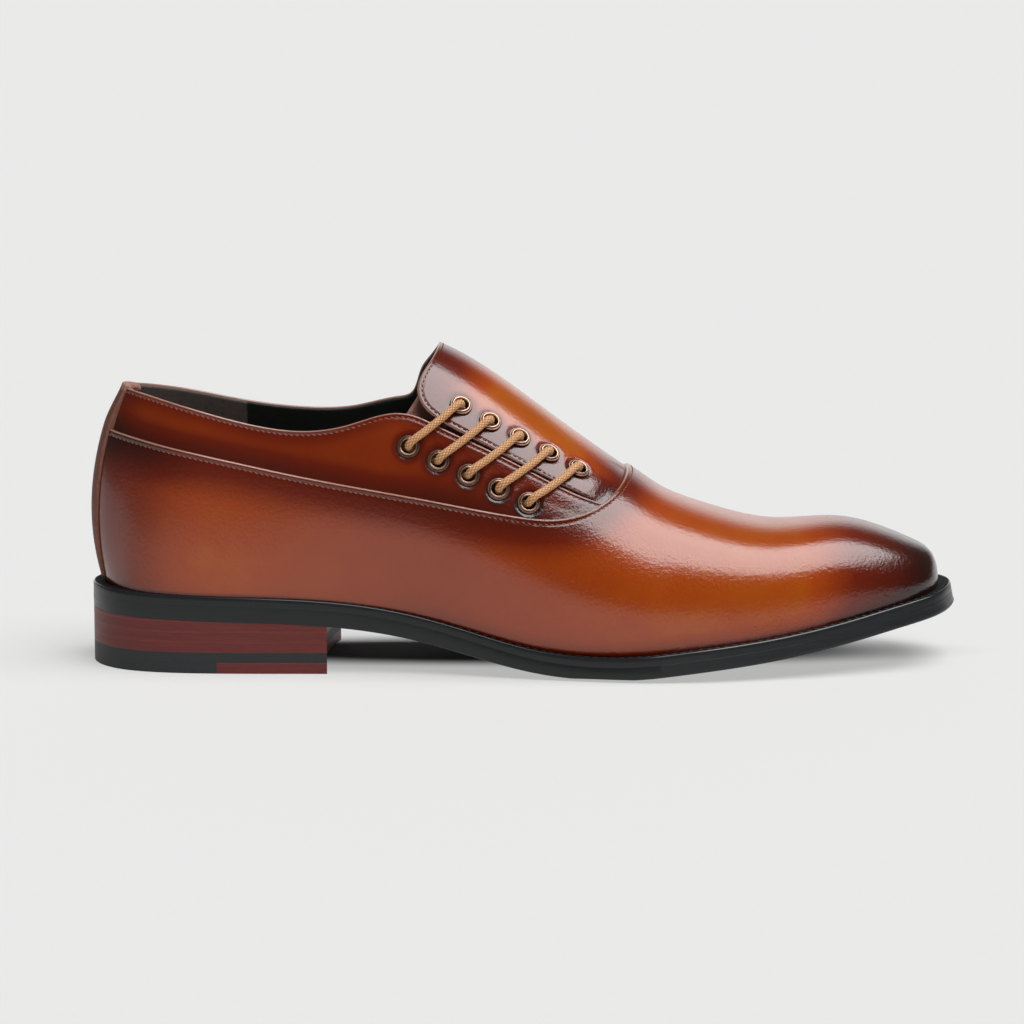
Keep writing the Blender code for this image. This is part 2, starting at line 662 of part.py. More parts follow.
def build_lace(parent, places):
    curve = bpy.data.curves.new("lace", "CURVE")
    curve.dimensions = "3D"
    curve.bevel_depth = LACE
    curve.bevel_resolution = 2
    curve.use_fill_caps = True
    route = lace_route(places)
    line = curve.splines.new("POLY")
    line.points.add(len(route) - 1)
    for point, place in zip(line.points, route):
        point.co = (*place, 1.0)
    curve.materials.append(make_material("lace", WAXED_CORD))
    lace = bpy.data.objects.new("lace", curve)
    lace.parent = parent
    bpy.context.scene.collection.objects.link(lace)


def main():
    for item in list(bpy.data.objects):
        bpy.data.objects.remove(item, do_unlink=True)
    shoe = bpy.data.objects.new("dress_shoe", None)
    shoe.location = CENTRE_SHIFT
    bpy.context.scene.collection.objects.link(shoe)
    places = eyelet_places()
    build_upper(shoe, places)
    build_backstay(shoe)
    build_tongue(shoe)
    build_sole(shoe)
    build_heel(shoe)
    build_eyelets(shoe, places)
    build_lace(shoe, places)


if __name__ == "__main__":
    main()
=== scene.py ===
"""Dresses the side-laced dress shoe: leather panels, lining, stitches, eyelets, lace, sole and heel.

Units are metres. +X points to the toe, -Y to the outer (laced) side and +Z up.
"""

import math
from collections import namedtuple

import bmesh
import bpy
import numpy as np
from bpy.props import FloatProperty, FloatVectorProperty, IntProperty, PointerProperty
from bpy.types import Operator, Panel, PropertyGroup
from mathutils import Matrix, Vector


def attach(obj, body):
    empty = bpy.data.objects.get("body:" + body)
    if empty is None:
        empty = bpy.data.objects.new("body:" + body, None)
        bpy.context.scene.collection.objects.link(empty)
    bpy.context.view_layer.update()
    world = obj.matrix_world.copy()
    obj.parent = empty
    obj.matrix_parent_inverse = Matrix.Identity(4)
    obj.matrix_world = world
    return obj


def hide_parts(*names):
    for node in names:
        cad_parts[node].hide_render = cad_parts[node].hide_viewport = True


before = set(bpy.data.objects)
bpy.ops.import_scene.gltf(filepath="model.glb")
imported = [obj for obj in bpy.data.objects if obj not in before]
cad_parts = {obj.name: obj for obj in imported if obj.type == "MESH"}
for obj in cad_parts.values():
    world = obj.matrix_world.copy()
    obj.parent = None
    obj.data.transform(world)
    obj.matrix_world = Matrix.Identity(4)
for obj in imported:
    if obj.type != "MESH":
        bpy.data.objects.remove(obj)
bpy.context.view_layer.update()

bl_info = {
    "name": "Side-laced dress shoe",
    "version": (1, 0, 0),
    "blender": (4, 5, 0),
    "location": "View3D > Sidebar > Shoe",
    "description": "Leather panels, stitches, eyelets, lace, sole and heel of a dress shoe",
    "category": "Object",
}

MM = 0.001

# Sizes of the frame, which every piece follows
LENGTH = 302 * MM
BALL_WIDTH = 100 * MM
INSTEP = 112 * MM
GAP = 0.3 * MM
WALL = 1.8 * MM
OVERLAY = 1.2 * MM
BACKSTAY = 0.7 * MM
BACKSTAY_HALF = 6.2 * MM
TONGUE = 1.4 * MM
TONGUE_RISE = 9 * MM
TONGUE_HALF = 17 * MM
TONGUE_SLANT = 2.5 * MM
TONGUE_BEHIND = 8 * MM
TONGUE_AHEAD = 4 * MM
WELT = 3.2 * MM
SOLE = 8.6 * MM
SOLE_EDGE_BEVEL = 0.8 * MM
HEEL_EDGE_BEVEL = 0.1 * MM
TREAD_EDGE = 0.9 * MM
TREAD_INSET = 7 * MM
TREAD_BLEND = 20 * MM
TOE_FLARE = 1.5 * MM
INSOLE_ABOVE_WELT = 1.8 * MM
BREAST_X = -67.5 * MM
BREAST_HOLLOW = 3.0 * MM
BREAST_SLANT = 1.8 * MM
BREAST_BLEND = 10 * MM
RUBBER_END_X = -105.5 * MM
TOP_PIECE = 3.8 * MM
BLACK_LIFT_TOP = 7.3 * MM
HEEL_LIFT = 3.6 * MM
EYELETS = 5
BORE = 2.4 * MM
BARREL = 2.75 * MM
FLANGE = 3.9 * MM
LACE = 1.4 * MM
CENTRE_SHIFT = np.array((-0.29, 1.17, 0.0)) * MM

# Sections of the last, heel to toe: percentages of LENGTH, BALL_WIDTH and INSTEP, and millimetres.
Section = namedtuple("Section", "name along lateral medial spine crown_y rise roundness swell")
LAST = (
    Section("heel_back", 1.8, 0.0, 0.0, 16.2, 0.0, 89.1, 2.38, 4.6),
    Section("heel_turn", 3.6, 15.8, 15.8, 16.8, 0.0, 89.3, 2.1, -0.4),
    Section("heel_side", 8.4, 26.5, 26.5, 18.0, 0.0, 89.9, 1.88, -1.2),
    Section("seat", 16.9, 29.8, 29.3, 20.0, 0.0, 89.5, 1.82, -1.0),
    Section("shank", 28.1, 30.5, 28.0, 28.3, 5.0, 85.0, 2.08, 1.0),
    Section("waist", 40.1, 33.5, 26.5, 40.1, 14.0, 81.3, 2.45, 4.1),
    Section("instep", 51.3, 40.0, 31.5, 51.3, 8.9, 70.6, 2.34, 3.5),
    Section("joint", 61.9, 45.0, 39.5, 61.9, 5.6, 51.8, 2.37, 2.4),
    Section("tread", 66.6, 45.0, 41.8, 66.6, 2.8, 42.4, 2.56, 0.8),
    Section("ball", 71.9, 43.3, 42.8, 71.9, 1.0, 35.5, 2.68, 0.0),
    Section("vamp", 79.1, 38.2, 40.2, 79.1, 0.2, 28.9, 2.77, -0.4),
    Section("toe_box", 86.4, 31.2, 35.0, 86.4, 1.0, 26.0, 2.71, -0.1),
    Section("toe_side", 92.1, 25.0, 30.0, 92.1, 2.2, 19.15, 2.6, 0.3),
    Section("toe_turn", 95.4, 18.5, 24.8, 95.4, 2.8, 13.6, 2.49, 0.6),
    Section("toe_front", 97.4, 9.0, 16.0, 97.4, 3.2, 8.8, 2.33, 0.9),
    Section("toe_tip", 98.0, -3.5, 3.5, 98.0, 3.5, 0.0, 2.35, 0.0),
)
TIP = len(LAST) - 1

# Outline of the welt's upper edge at the same sections, in the same percentages
Outline = namedtuple("Outline", "name along lateral medial")
SOLE_OUTLINE = (
    Outline("heel_back", 0.0, 0.0, 0.0),
    Outline("heel_turn", 1.8, 17.5, 17.5),
    Outline("heel_side", 7.1, 29.0, 29.0),
    Outline("seat", 16.6, 32.8, 32.2),
    Outline("shank", 28.1, 33.2, 31.0),
    Outline("waist", 40.1, 36.2, 29.5),
    Outline("instep", 51.3, 43.5, 34.5),
    Outline("joint", 61.9, 49.5, 43.3),
    Outline("tread", 66.6, 49.8, 46.2),
    Outline("ball", 71.9, 48.3, 47.5),
    Outline("vamp", 79.1, 43.0, 45.0),
    Outline("toe_box", 86.8, 35.6, 39.4),
    Outline("toe_side", 92.9, 28.0, 33.5),
    Outline("toe_turn", 97.0, 20.5, 26.8),
    Outline("toe_front", 99.1, 9.5, 16.5),
    Outline("toe_tip", 99.85, -3.5, 3.5),
)

# Height of the welt's upper face along the shoe: a percentage of LENGTH and millimetres
WELT_TOP = (
    (0.0, 28.0),
    (13.6, 26.7),
    (28.1, 24.9),
    (36.1, 21.6),
    (43.4, 16.2),
    (50.0, 11.0),
    (56.6, 8.4),
    (61.9, 8.5),
    (69.9, 11.0),
    (79.1, 14.4),
    (87.1, 18.9),
    (93.0, 22.9),
    (100.0, 27.2),
)

# Edges of the panels seen from the side, x and z in millimetres
QUARTER_EDGE = (
    (-165.0, 99.2),
    (-141.0, 96.5),
    (-117.0, 91.2),
    (-94.0, 85.3),
    (-76.0, 83.1),
    (-62.0, 84.8),
    (-52.0, 87.8),
    (-43.5, 89.3),
    (-38.0, 88.6),
    (-30.0, 85.2),
    (-16.6, 79.1),
    (-4.0, 73.0),
    (10.0, 65.8),
    (20.0, 61.2),
    (26.4, 58.9),
)
FLAP_EDGE = (
    (26.9, 59.3),
    (20.6, 61.9),
    (9.6, 67.0),
    (-16.6, 80.4),
    (-29.0, 87.0),
    (-34.0, 91.0),
    (-36.4, 96.1),
    (-35.0, 101.7),
    (-31.4, 106.8),
    (-28.6, 112.0),
    (-27.4, 117.0),
)
MEDIAL_EDGE = (
    (-165.0, 99.8),
    (-141.0, 97.3),
    (-117.0, 92.8),
    (-97.0, 88.7),
    (-76.0, 86.2),
    (-60.0, 86.6),
    (-44.5, 89.8),
    (-39.8, 91.2),
    (-37.9, 94.7),
    (-35.8, 100.8),
    (-32.0, 106.0),
    (-28.6, 112.0),
    (-27.4, 117.0),
)
SEAM_EDGE = (
    (-165.0, 86.2),
    (-143.0, 81.5),
    (-120.0, 76.9),
    (-73.0, 67.2),
    (-30.0, 60.2),
    (-2.0, 55.3),
    (9.6, 54.2),
    (18.1, 55.2),
    (24.5, 57.5),
    (30.7, 61.2),
    (35.3, 65.8),
    (37.9, 70.3),
    (38.7, 78.0),
)

# First and last eyelets of each row, the slit's ends and where quarter and flap meet the seam, likewise
UPPER_EYELETS = ((-21.4, 91.5), (19.1, 69.9))
LOWER_EYELETS = ((-39.4, 78.2), (1.8, 59.7))
SLIT = ((-33.0, 87.6), (24.5, 59.4))
QUARTER_END = (26.3, 58.0)
FLAP_START = (26.8, 58.3)

# Distances of the closely set rows at a panel's folded edge
EDGE_ROWS = np.array((0, 0.06, 0.16, 0.3, 0.5, 0.75, 1.05, 1.4, 1.8, 2.2, 2.6, 3.1, 3.8, 4.8, 6.2)) * MM

# Distances of the stitch rows from the seam's edge and from the edges of quarter and flap
SEAM_ROW = 2.1 * MM
EDGE_ROW = 1.6 * MM

# Depth and reach of the dimples round the eyelets, and the reach of the painted shade in them
DIMPLE = 0.34 * MM
DIMPLE_REACH = 1.4 * MM
DIMPLE_SHADE_REACH = 3 * MM

# How far the facings reach under the lower panel
TUCK = 2 * MM

# Where the seam leaves the waist, and the share of it that fans out to the foot line before the toe's tip
SEAM_TURN_X = -12 * MM
TIP_SHARE = 0.94

# Where the inner edge of the flap turns into the collar, and where its seam leaves the front and the waist
INNER_CORNER_X = -42 * MM
INNER_FRONT_X = 24 * MM
INNER_WAIST_X = -30 * MM

# Where the panels' lines, from their upper to their lower edges, are read
SHARES = np.linspace(0, 1, 90)

# Type of a node group's number sockets
NUMBER = "NodeSocketFloat"


def length_setting(name, description, default):
    return FloatProperty(name=name, description=description, default=default, unit="LENGTH", precision=5)


def colour_setting(name, description, default):
    return FloatVectorProperty(
        name=name, description=description, default=default, subtype="COLOR", size=3, min=0.0, max=1.0
    )


def number_setting(name, description, default):
    return FloatProperty(name=name, description=description, default=default)


def angle_setting(name, description, degrees):
    return FloatProperty(name=name, description=description, default=math.radians(degrees), subtype="ANGLE")


class UpperSettings(PropertyGroup):
    """Leather of the upper"""

    honey: colour_setting("Honey", "Leather where it is lightest", (0.47, 0.118, 0.004))
    tan: colour_setting("Tan", "Leather where it is hardly burnished", (0.385, 0.053, 0.0012))
    brown: colour_setting("Brown", "Leather where it is half burnished", (0.16, 0.0122, 0.0007))
    # Burnish: the darkest stop, for burnished leather and for painted shade
    burnish: colour_setting("Burnish", "Leather at the toe, the heel and the edges", (0.018, 0.0027, 0.0011))
    pebbled: colour_setting("Pebbled", "Pebbled leather of tongue and backstay", (0.14, 0.042, 0.022))
    worn: colour_setting("Worn", "Pebbled leather on its folds", (0.42, 0.22, 0.17))
    # Rubbed: worn folded edges, their light colour also a painted highlight along the fold
    rubbed: colour_setting("Rubbed", "Smooth leather on its folded edges", (0.55, 0.30, 0.22))
    lining: colour_setting("Lining", "Lining of the quarters", (0.020, 0.0195, 0.019))
    heel_lining: colour_setting("Heel lining", "Suede lining behind the heel", (0.15, 0.118, 0.107))
    leather: length_setting("Leather", "Thickness of the outer leather", 1.1 * MM)
    grain: number_setting("Grain", "Pores of the leather to the metre", 1500.0)


class StitchSettings(PropertyGroup):
    """Threads of the seams"""

    pitch: length_setting("Pitch", "Distance between stitches", 1.95 * MM)
    stitch: length_setting("Stitch", "Visible length of a stitch", 1.45 * MM)
    thread: length_setting("Thread", "Thickness of the thread", 0.42 * MM)
    slant: angle_setting("Slant", "Turn of the stitches from their row", -16)
    welt_pitch: length_setting("Welt pitch", "Distance between the welt's stitches", 3.0 * MM)
    thread_colour: colour_setting("Thread colour", "Thread of seam and collar", (0.28, 0.105, 0.058))
    # The flap's thread is dark as painted shade of its stitch holes
    flap_stitch_shade_colour: colour_setting("Flap thread colour", "Thread of the flap", (0.04, 0.01, 0.005))
    welt_colour: colour_setting("Welt thread colour", "Thread of the welt", (0.02, 0.02, 0.021))


class SoleSettings(PropertyGroup):
    """Welt, outsole and heel"""

    black: colour_setting("Edge black", "Waxed black of welt and outsole", (0.0095, 0.0102, 0.011))
    stack: colour_setting("Heel stack", "Stain of the stacked lifts", (0.17, 0.028, 0.024))
    rubber: colour_setting("Rubber", "Rubber of the heel's top piece", (0.013, 0.014, 0.015))
    bevel: length_setting("Bevel", "Bevel of the welt's upper edge", 0.3 * MM)


class LaceSettings(PropertyGroup):
    """Lace and eyelets"""

    cord: colour_setting("Cord", "Waxed cord of the lace", (1.0, 0.56, 0.27))
    # Between: painted shade in the grooves between the braid's strands
    between: colour_setting("Between", "Cord between its strands", (0.36, 0.1344, 0.0378))
    strands: IntProperty(name="Strands", description="Braided strands in each direction", default=7, min=4)
    weave: length_setting("Weave", "Relief of the braid", 0.19 * MM)
    plait: length_setting("Plait", "Length of one crossing of the braid", 1.45 * MM)
    metal: colour_setting("Metal", "Copper of the eyelets", (0.55, 0.37, 0.28))
    tarnish: colour_setting("Tarnish", "Dark patina of the eyelets", (0.13, 0.066, 0.046))


class StageSettings(PropertyGroup):
    """Floor, light and camera"""

    floor: colour_setting("Floor", "Pale studio floor", (0.35, 0.35, 0.35))
    # Glow is painted light: the floor's own emission, which lifts its shadows and fades out under the shoe
    # to paint its shadow there
    painted_floor_light: colour_setting("Glow", "Light that comes up through the floor", (0.46, 0.458, 0.456))
    softbox: number_setting("Softbox", "Brightness of the softbox overhead", 5.6)
    backdrop: number_setting("Backdrop", "Brightness of the wall behind the shoe", 0.82)
    sweep: number_setting("Sweep", "Brightness of the floor's far front", 0.7)
    room: number_setting("Room", "Brightness of the rest of the studio", 0.07)
    distance: length_setting("Camera distance", "From the camera to its aim", 1.25)
    elevation: angle_setting("Elevation", "Camera's angle over the floor", 8.5)
    lens: number_setting("Lens", "Focal length on a 36 mm sensor, in millimetres", 125.16)


def cubic(knots, values, at, flat_start=False, flat_end=False):
    """Cubic spline through values at knots, read at the places in at. An end is flat or natural."""
    knots, values, at = (np.asarray(item, float) for item in (knots, values, at))
    step, rise = np.diff(knots), np.diff(values)
    count = len(knots)
    matrix, right = np.zeros((count, count)), np.zeros(count)
    for i in range(1, count - 1):
        matrix[i, i - 1 : i + 2] = step[i - 1], 2 * (step[i - 1] + step[i]), step[i]
        right[i] = 6 * (rise[i] / step[i] - rise[i - 1] / step[i - 1])
    matrix[0, 0] = matrix[-1, -1] = 1.0
    if flat_start:
        matrix[0, :2] = 2 * step[0], step[0]
        right[0] = 6 * rise[0] / step[0]
    if flat_end:
        matrix[-1, -2:] = step[-1], 2 * step[-1]
        right[-1] = -6 * rise[-1] / step[-1]
    bend = np.linalg.solve(matrix, right)
    i = np.clip(np.searchsorted(knots, at) - 1, 0, count - 2)
    a, b = (knots[i + 1] - at) / step[i], (at - knots[i]) / step[i]
    curve = ((a**3 - a) * bend[i] + (b**3 - b) * bend[i + 1]) * step[i] ** 2 / 6
    return a * values[i] + b * values[i + 1] + curve


def smooth_step(value, start, end):
    """0 before start, 1 after end, and a soft rise between them."""
    share = np.clip((np.asarray(value, float) - start) / (end - start), 0, 1)
    return share * share * (3 - 2 * share)


def fade(value, start, end):
    """1 before start, 0 after end, and a soft fall between them."""
    return 1 - smooth_step(value, start, end)


def bump(value, centre, width):
    """Soft hump of height 1 around centre."""
    return np.exp(-(((np.asarray(value, float) - centre) / width) ** 2))


def along_x(along):
    return (np.asarray(along, float) / 100 - 0.5) * LENGTH


def column(table, name, s):
    """One column of LAST or SOLE_OUTLINE as a smooth function of the section number s."""
    values = [getattr(row, name) for row in table]
    sideways = name in ("lateral", "medial")
    return cubic(range(len(table)), values, s, not sideways, not sideways and name != "rise")


def welt_top(x):
    """Height of the welt's upper face at x."""
    rows = np.array(WELT_TOP)
    return cubic(along_x(rows[:, 0]), rows[:, 1] * MM, x)


def sole_bottom(x):
    """Height of the outsole's underside at x, flat on the floor under the ball of the foot."""
    return np.maximum(welt_top(x) - SOLE, 0)


def flare(s):
    """How far the outsole's edge stands out towards the toe."""
    return TOE_FLARE * np.clip(np.asarray(s) / TIP, 0, 1) ** 2


def run_along(points):
    """Distance of each point of a path from its start, along the path."""
    return np.concatenate([[0], np.linalg.norm(np.diff(points, axis=0), axis=1).cumsum()])


def share_along(points):
    """Share of a path's length that lies before each of its points."""
    steps = np.linalg.norm(np.diff(points, axis=0), axis=1)
    return np.concatenate([[0], steps.cumsum()]) / steps.sum()


def smooth_edge(edge, spacing=0.25 * MM):
    """Points of a smooth curve through an edge's rows, as (x, z) pairs in metres."""
    rows = np.array(edge) * MM
    run = run_along(rows)
    at = np.linspace(0, run[-1], round(run[-1] / spacing) + 1)
    return np.stack([cubic(run, rows[:, 0], at), cubic(run, rows[:, 1], at)], axis=-1)


def edge_height(edge):
    """Height of an edge as a function of x."""
    rows = smooth_edge(edge)
    return lambda x: np.interp(x, rows[:, 0], rows[:, 1])


def skin(s, q):
    """Points of the upper's base skin. s is the section number, and q runs from the lateral welt (0)
    over the crown (1) to the medial welt (2)."""
    s, q = np.broadcast_arrays(np.asarray(s, float), np.asarray(q, float))
    share = np.where(q <= 1, q, 2 - q)
    roundness = column(LAST, "roundness", s)
    low, high = share ** (roundness / 2), (1 - share) ** (roundness / 2)
    angle = math.pi / 2 * low / (low + high)
    inward, up = 1 - np.cos(angle) ** (2 / roundness), np.sin(angle) ** (2 / roundness)
    foot_x, spine_x = along_x(column(LAST, "along", s)), along_x(column(LAST, "spine", s))
    half = np.where(q <= 1, -column(LAST, "lateral", s), column(LAST, "medial", s))
    foot_y, crown_y = half * BALL_WIDTH / 100, column(LAST, "crown_y", s) * BALL_WIDTH / 100
    reach = np.hypot(spine_x - foot_x, crown_y - foot_y)
    hump = 27 / 4 * up * (1 - up) ** 2
    inward = inward - hump * column(LAST, "swell", s) * MM / np.maximum(reach, MM)
    x = foot_x + (spine_x - foot_x) * inward
    y = foot_y + (crown_y - foot_y) * inward
    z = welt_top(foot_x) + GAP + column(LAST, "rise", s) * INSTEP / 100 * up
    return np.stack([x, y, z], axis=-1)


def curve_points(curve):
    """Skin points of a curve's (s, q) rows."""
    return skin(curve[..., 0], curve[..., 1])


def skin_normal(s, q):
    """Outward unit normals of the skin. On the foot line they stay level."""
    s, q = np.broadcast_arrays(np.asarray(s, float), np.asarray(q, float))
    forward = skin(np.minimum(s + 0.01, TIP), q) - skin(np.maximum(s - 0.01, 0), q)
    around = skin(s, np.minimum(q + 0.005, 2)) - skin(s, np.maximum(q - 0.005, 0))
    normal = np.cross(forward, around)
    normal[(q <= 0) | (q >= 2), 2] = 0
    normal[s <= 0, 1] = 0
    normal[np.linalg.norm(normal, axis=-1) < 1e-14] = 0, 0, 1
    normal[s >= TIP] = 1, 0, 0
    return normal / np.linalg.norm(normal, axis=-1, keepdims=True)


def lifted(s, q, lift):
    """Skin points moved outward by lift."""
    return skin(s, q) + skin_normal(s, q) * np.asarray(lift, float)[..., None]


def q_where(level, s, side):
    """q at which the skin's side (-1 lateral, 1 medial) reaches the height level(x), at sections s."""
    low, high = np.zeros_like(s), np.ones_like(s)
    for _ in range(36):
        middle = (low + high) / 2
        points = skin(s, middle if side < 0 else 2 - middle)
        under = points[..., 2] < level(points[..., 0])
        low, high = np.where(under, middle, low), np.where(under, high, middle)
    return low if side < 0 else 2 - low


def lateral_place(x, z):
    """Section number and q of the lateral skin at x and height z, ahead of the heel's curve."""
    x, z = np.asarray(x, float), np.asarray(z, float)
    numbers = np.linspace(3, TIP, 800)
    feet = along_x(column(LAST, "along", numbers))
    s = np.interp(x, feet, numbers)
    for _ in range(3):
        q = q_where(lambda _: z, s, -1)
        s = np.interp(x - skin(s, q)[..., 0] + along_x(column(LAST, "along", s)), feet, numbers)
    return s, q


def lateral_section(spot):
    """Section number of the lateral skin at a spot of x and z in millimetres."""
    x, z = np.array(spot)[:, None] * MM
    return float(lateral_place(x, z)[0][0])


def evenly(curve, shares):
    """A curve of (s, q) rows read at shares of its length over the skin."""
    run = run_along(curve_points(curve))
    at = np.asarray(shares) * run[-1]
    return np.stack([np.interp(at, run, curve[:, 0]), np.interp(at, run, curve[:, 1])], axis=-1)


def seam_half(side):
    """Seam of the lower panel from the heel's middle to the throat on the ridge, as (s, q) rows."""
    level = edge_height(SEAM_EDGE)
    low, high = 6.0, 8.0
    for _ in range(50):
        throat = (low + high) / 2
        x, _, z = skin(throat, 1.0)
        low, high = (throat, high) if z > level(x) else (low, throat)
    s = throat * (1 - (1 - np.linspace(0, 1, 700)) ** 2)
    q = q_where(level, s, side)
    q[-1] = 1.0
    return np.stack([s, q], axis=-1)


Ruled = namedtuple("Ruled", "upper lower run slant")


def ruled(upper, lower):
    """Lines over the skin from an upper to a lower edge, with the run along each line and the sine of
    the angle at which it leaves the upper edge."""
    lines = upper[:, None] + (lower - upper)[:, None] * SHARES[None, :, None]
    points = curve_points(lines)
    steps = np.linalg.norm(np.diff(points, axis=1), axis=2)
    run = np.concatenate([np.zeros((len(steps), 1)), steps.cumsum(axis=1)], axis=1)
    tangent, away = np.gradient(points[:, 0], axis=0), points[:, 3] - points[:, 0]
    size = np.linalg.norm(tangent, axis=1) * np.linalg.norm(away, axis=1)
    slant = np.linalg.norm(np.cross(tangent, away), axis=1) / np.maximum(size, 1e-12)
    return Ruled(upper, lower, run, np.clip(slant, 0.35, 1))


def read_lines(lines, along):
    """s and q at the distances along, one row of them for each line."""
    share = np.array([np.interp(row, run, SHARES) for row, run in zip(along, lines.run)])
    spots = lines.upper[:, None] + (lines.lower - lines.upper)[:, None] * share[..., None]
    return spots[..., 0], spots[..., 1]


def panel_rows(lines, steps, count):
    """s, q and distance from the upper edge, with rows at steps from that edge and count even rows on."""
    near = steps[None, :] / lines.slant[:, None]
    near = near * np.minimum(1, 0.7 * lines.run[:, -1:] / near[:, -1:])
    shares = np.linspace(0, 1, count + 1)[None, 1:]
    along = np.hstack([near, near[:, -1:] + (lines.run[:, -1:] - near[:, -1:]) * shares])
    s, q = read_lines(lines, along)
    return s, q, along * lines.slant[:, None]


def inset(lines, distance):
    """s and q of the line that runs at a distance from the upper edge."""
    s, q = read_lines(lines, np.minimum(distance / lines.slant, 0.8 * lines.run[:, -1])[:, None])
    return s[:, 0], q[:, 0]


def edge_round(distance, radius):
    """Quarter round from 0 at an edge to 1 at radius."""
    share = 1 - np.clip(distance / radius, 0, 1)
    return np.sqrt(1 - share * share)


def strips(a, b, c, d):
    """Faces with one corner from each of four rows or grids of point numbers."""
    return np.stack([item.ravel() for item in (a, b, c, d)], axis=-1)


def grid_faces(index):
    """Faces over a grid of point numbers."""
    return strips(index[:-1, :-1], index[1:, :-1], index[1:, 1:], index[:-1, 1:])


def shell(outer, inner, ring=False):
    """Points and faces of the closed solid between two grids of one shape, (n, m, 3) each. A ring's
    first and last rows lie on each other and need no wall."""
    n, m = outer.shape[:2]
    index = np.arange(2 * n * m).reshape(2, n, m)
    faces = [grid_faces(grid) for grid in index]
    over, under = index
    faces += [strips(over[:-1, j], over[1:, j], under[1:, j], under[:-1, j]) for j in (0, -1)]
    if not ring:
        faces += [strips(over[i, :-1], over[i, 1:], under[i, 1:], under[i, :-1]) for i in (0, -1)]
    return np.concatenate([outer.reshape(-1, 3), inner.reshape(-1, 3)]), np.concatenate(faces)


def make_piece(name, points, faces, material, slot, nodes=(), attributes=None, sharp=50):
    """Piece with its doubles merged and faces outward, riding on the shoe. nodes are the solids that it
    stands for. attributes hold one value a point, or a shell's for its outer face, which both share."""
    mesh = bpy.data.meshes.new(name)
    mesh.from_pydata((np.asarray(points) + CENTRE_SHIFT).tolist(), [], [list(face) for face in faces])
    for key, values in (attributes or {}).items():
        values = np.resize(values, len(points))
        mesh.attributes.new(key, "FLOAT", "POINT").data.foreach_set("value", values)
    bm = bmesh.new()
    bm.from_mesh(mesh)
    bmesh.ops.remove_doubles(bm, verts=bm.verts[:], dist=0.002 * MM)
    bmesh.ops.delete(bm, geom=[vert for vert in bm.verts if not vert.link_faces], context="VERTS")
    bmesh.ops.recalc_face_normals(bm, faces=bm.faces[:])
    bm.to_mesh(mesh)
    bm.free()
    mesh.shade_smooth()
    mesh.set_sharp_from_angle(angle=math.radians(sharp))
    mesh.materials.append(material)
    piece = bpy.data.objects.new(name, mesh)
    bpy.context.scene.collection.objects.link(piece)
    finish_piece(piece, nodes)
    return piece


def finish_piece(piece, nodes=()):
    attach(piece, "root")
    if nodes:
        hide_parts(*nodes)


def freeze(piece):
    """Applies a piece's modifiers by putting the evaluated mesh in its place."""
    plain = bpy.data.meshes.new_from_object(piece.evaluated_get(bpy.context.evaluated_depsgraph_get()))
    old = piece.data
    piece.modifiers.clear()
    piece.data = plain
    bpy.data.meshes.remove(old)
    plain.name = piece.name


def eyelet_places():
    """Centre and outward normal of each eyelet, by row name, collar to toe."""
    places = {}
    for row, (first, last) in (("upper", UPPER_EYELETS), ("lower", LOWER_EYELETS)):
        spots = np.linspace(first, last, EYELETS) * MM
        s, q = lateral_place(spots[:, 0], spots[:, 1])
        places[row] = list(zip(skin(s, q), skin_normal(s, q)))
    return places


def punch_eyelets(piece, places):
    """Cuts the eyelets' holes out of a panel."""
    bm = bmesh.new()
    for centre, normal in places:
        turn = Vector(normal).to_track_quat("Z", "Y").to_matrix().to_4x4()
        turn.translation = Vector(centre + CENTRE_SHIFT)
        bmesh.ops.create_cone(
            bm, cap_ends=True, segments=24, depth=9 * MM, radius1=BARREL, radius2=BARREL, matrix=turn
        )
    mesh = bpy.data.meshes.new("eyelet_punch")
    bm.to_mesh(mesh)
    bm.free()
    punch = bpy.data.objects.new("eyelet_punch", mesh)
    bpy.context.scene.collection.objects.link(punch)
    cut = piece.modifiers.new("eyelet_holes", "BOOLEAN")
    cut.operation = "DIFFERENCE"
    cut.solver = "EXACT"
    cut.object = punch
    freeze(piece)
    bpy.data.objects.remove(punch, do_unlink=True)
    bpy.data.meshes.remove(mesh)


def add(tree, kind, inputs=None, **settings):
    """Node with its settings made and each input set to a value or linked to an output."""
    node = tree.nodes.new(kind)
    for key, value in settings.items():
        setattr(node, key, value)
    for key, value in (inputs or {}).items():
        if isinstance(value, bpy.types.NodeSocket):
            tree.links.new(value, node.inputs[key])
        else:
            node.inputs[key].default_value = value
    return node


def math_node(tree, operation, first, second=0.0, third=0.0, clamp=False):
    inputs = {0: first, 1: second, 2: third}
    return add(tree, "ShaderNodeMath", inputs, operation=operation, use_clamp=clamp).outputs[0]


def multiply_add(tree, value, factor, offset):
    return math_node(tree, "MULTIPLY_ADD", value, factor, offset)


def mix_colour(tree, factor, first, second, blend="MIX"):
    inputs = {0: factor, 6: first, 7: second}
    return add(tree, "ShaderNodeMix", inputs, data_type="RGBA", blend_type=blend).outputs[2]


def map_range(tree, value, start, end, first=0.0, last=1.0, way="LINEAR"):
    """A value between start and end, carried over to lie between first and last."""
    inputs = {0: value, 1: start, 2: end, 3: first, 4: last}
    return add(tree, "ShaderNodeMapRange", inputs, interpolation_type=way).outputs[0]


def noise(tree, vector, scale, detail=2.0, roughness=0.5):
    inputs = {"Vector": vector, "Scale": scale, "Detail": detail, "Roughness": roughness}
    return add(tree, "ShaderNodeTexNoise", inputs).outputs[0]


def streaked_noise(tree, place, scales, detail, roughness):
    """Noise with its own scale along each axis."""
    vector = add(tree, "ShaderNodeMapping", {"Vector": place, "Scale": scales}).outputs[0]
    return noise(tree, vector, 1.0, detail, roughness)


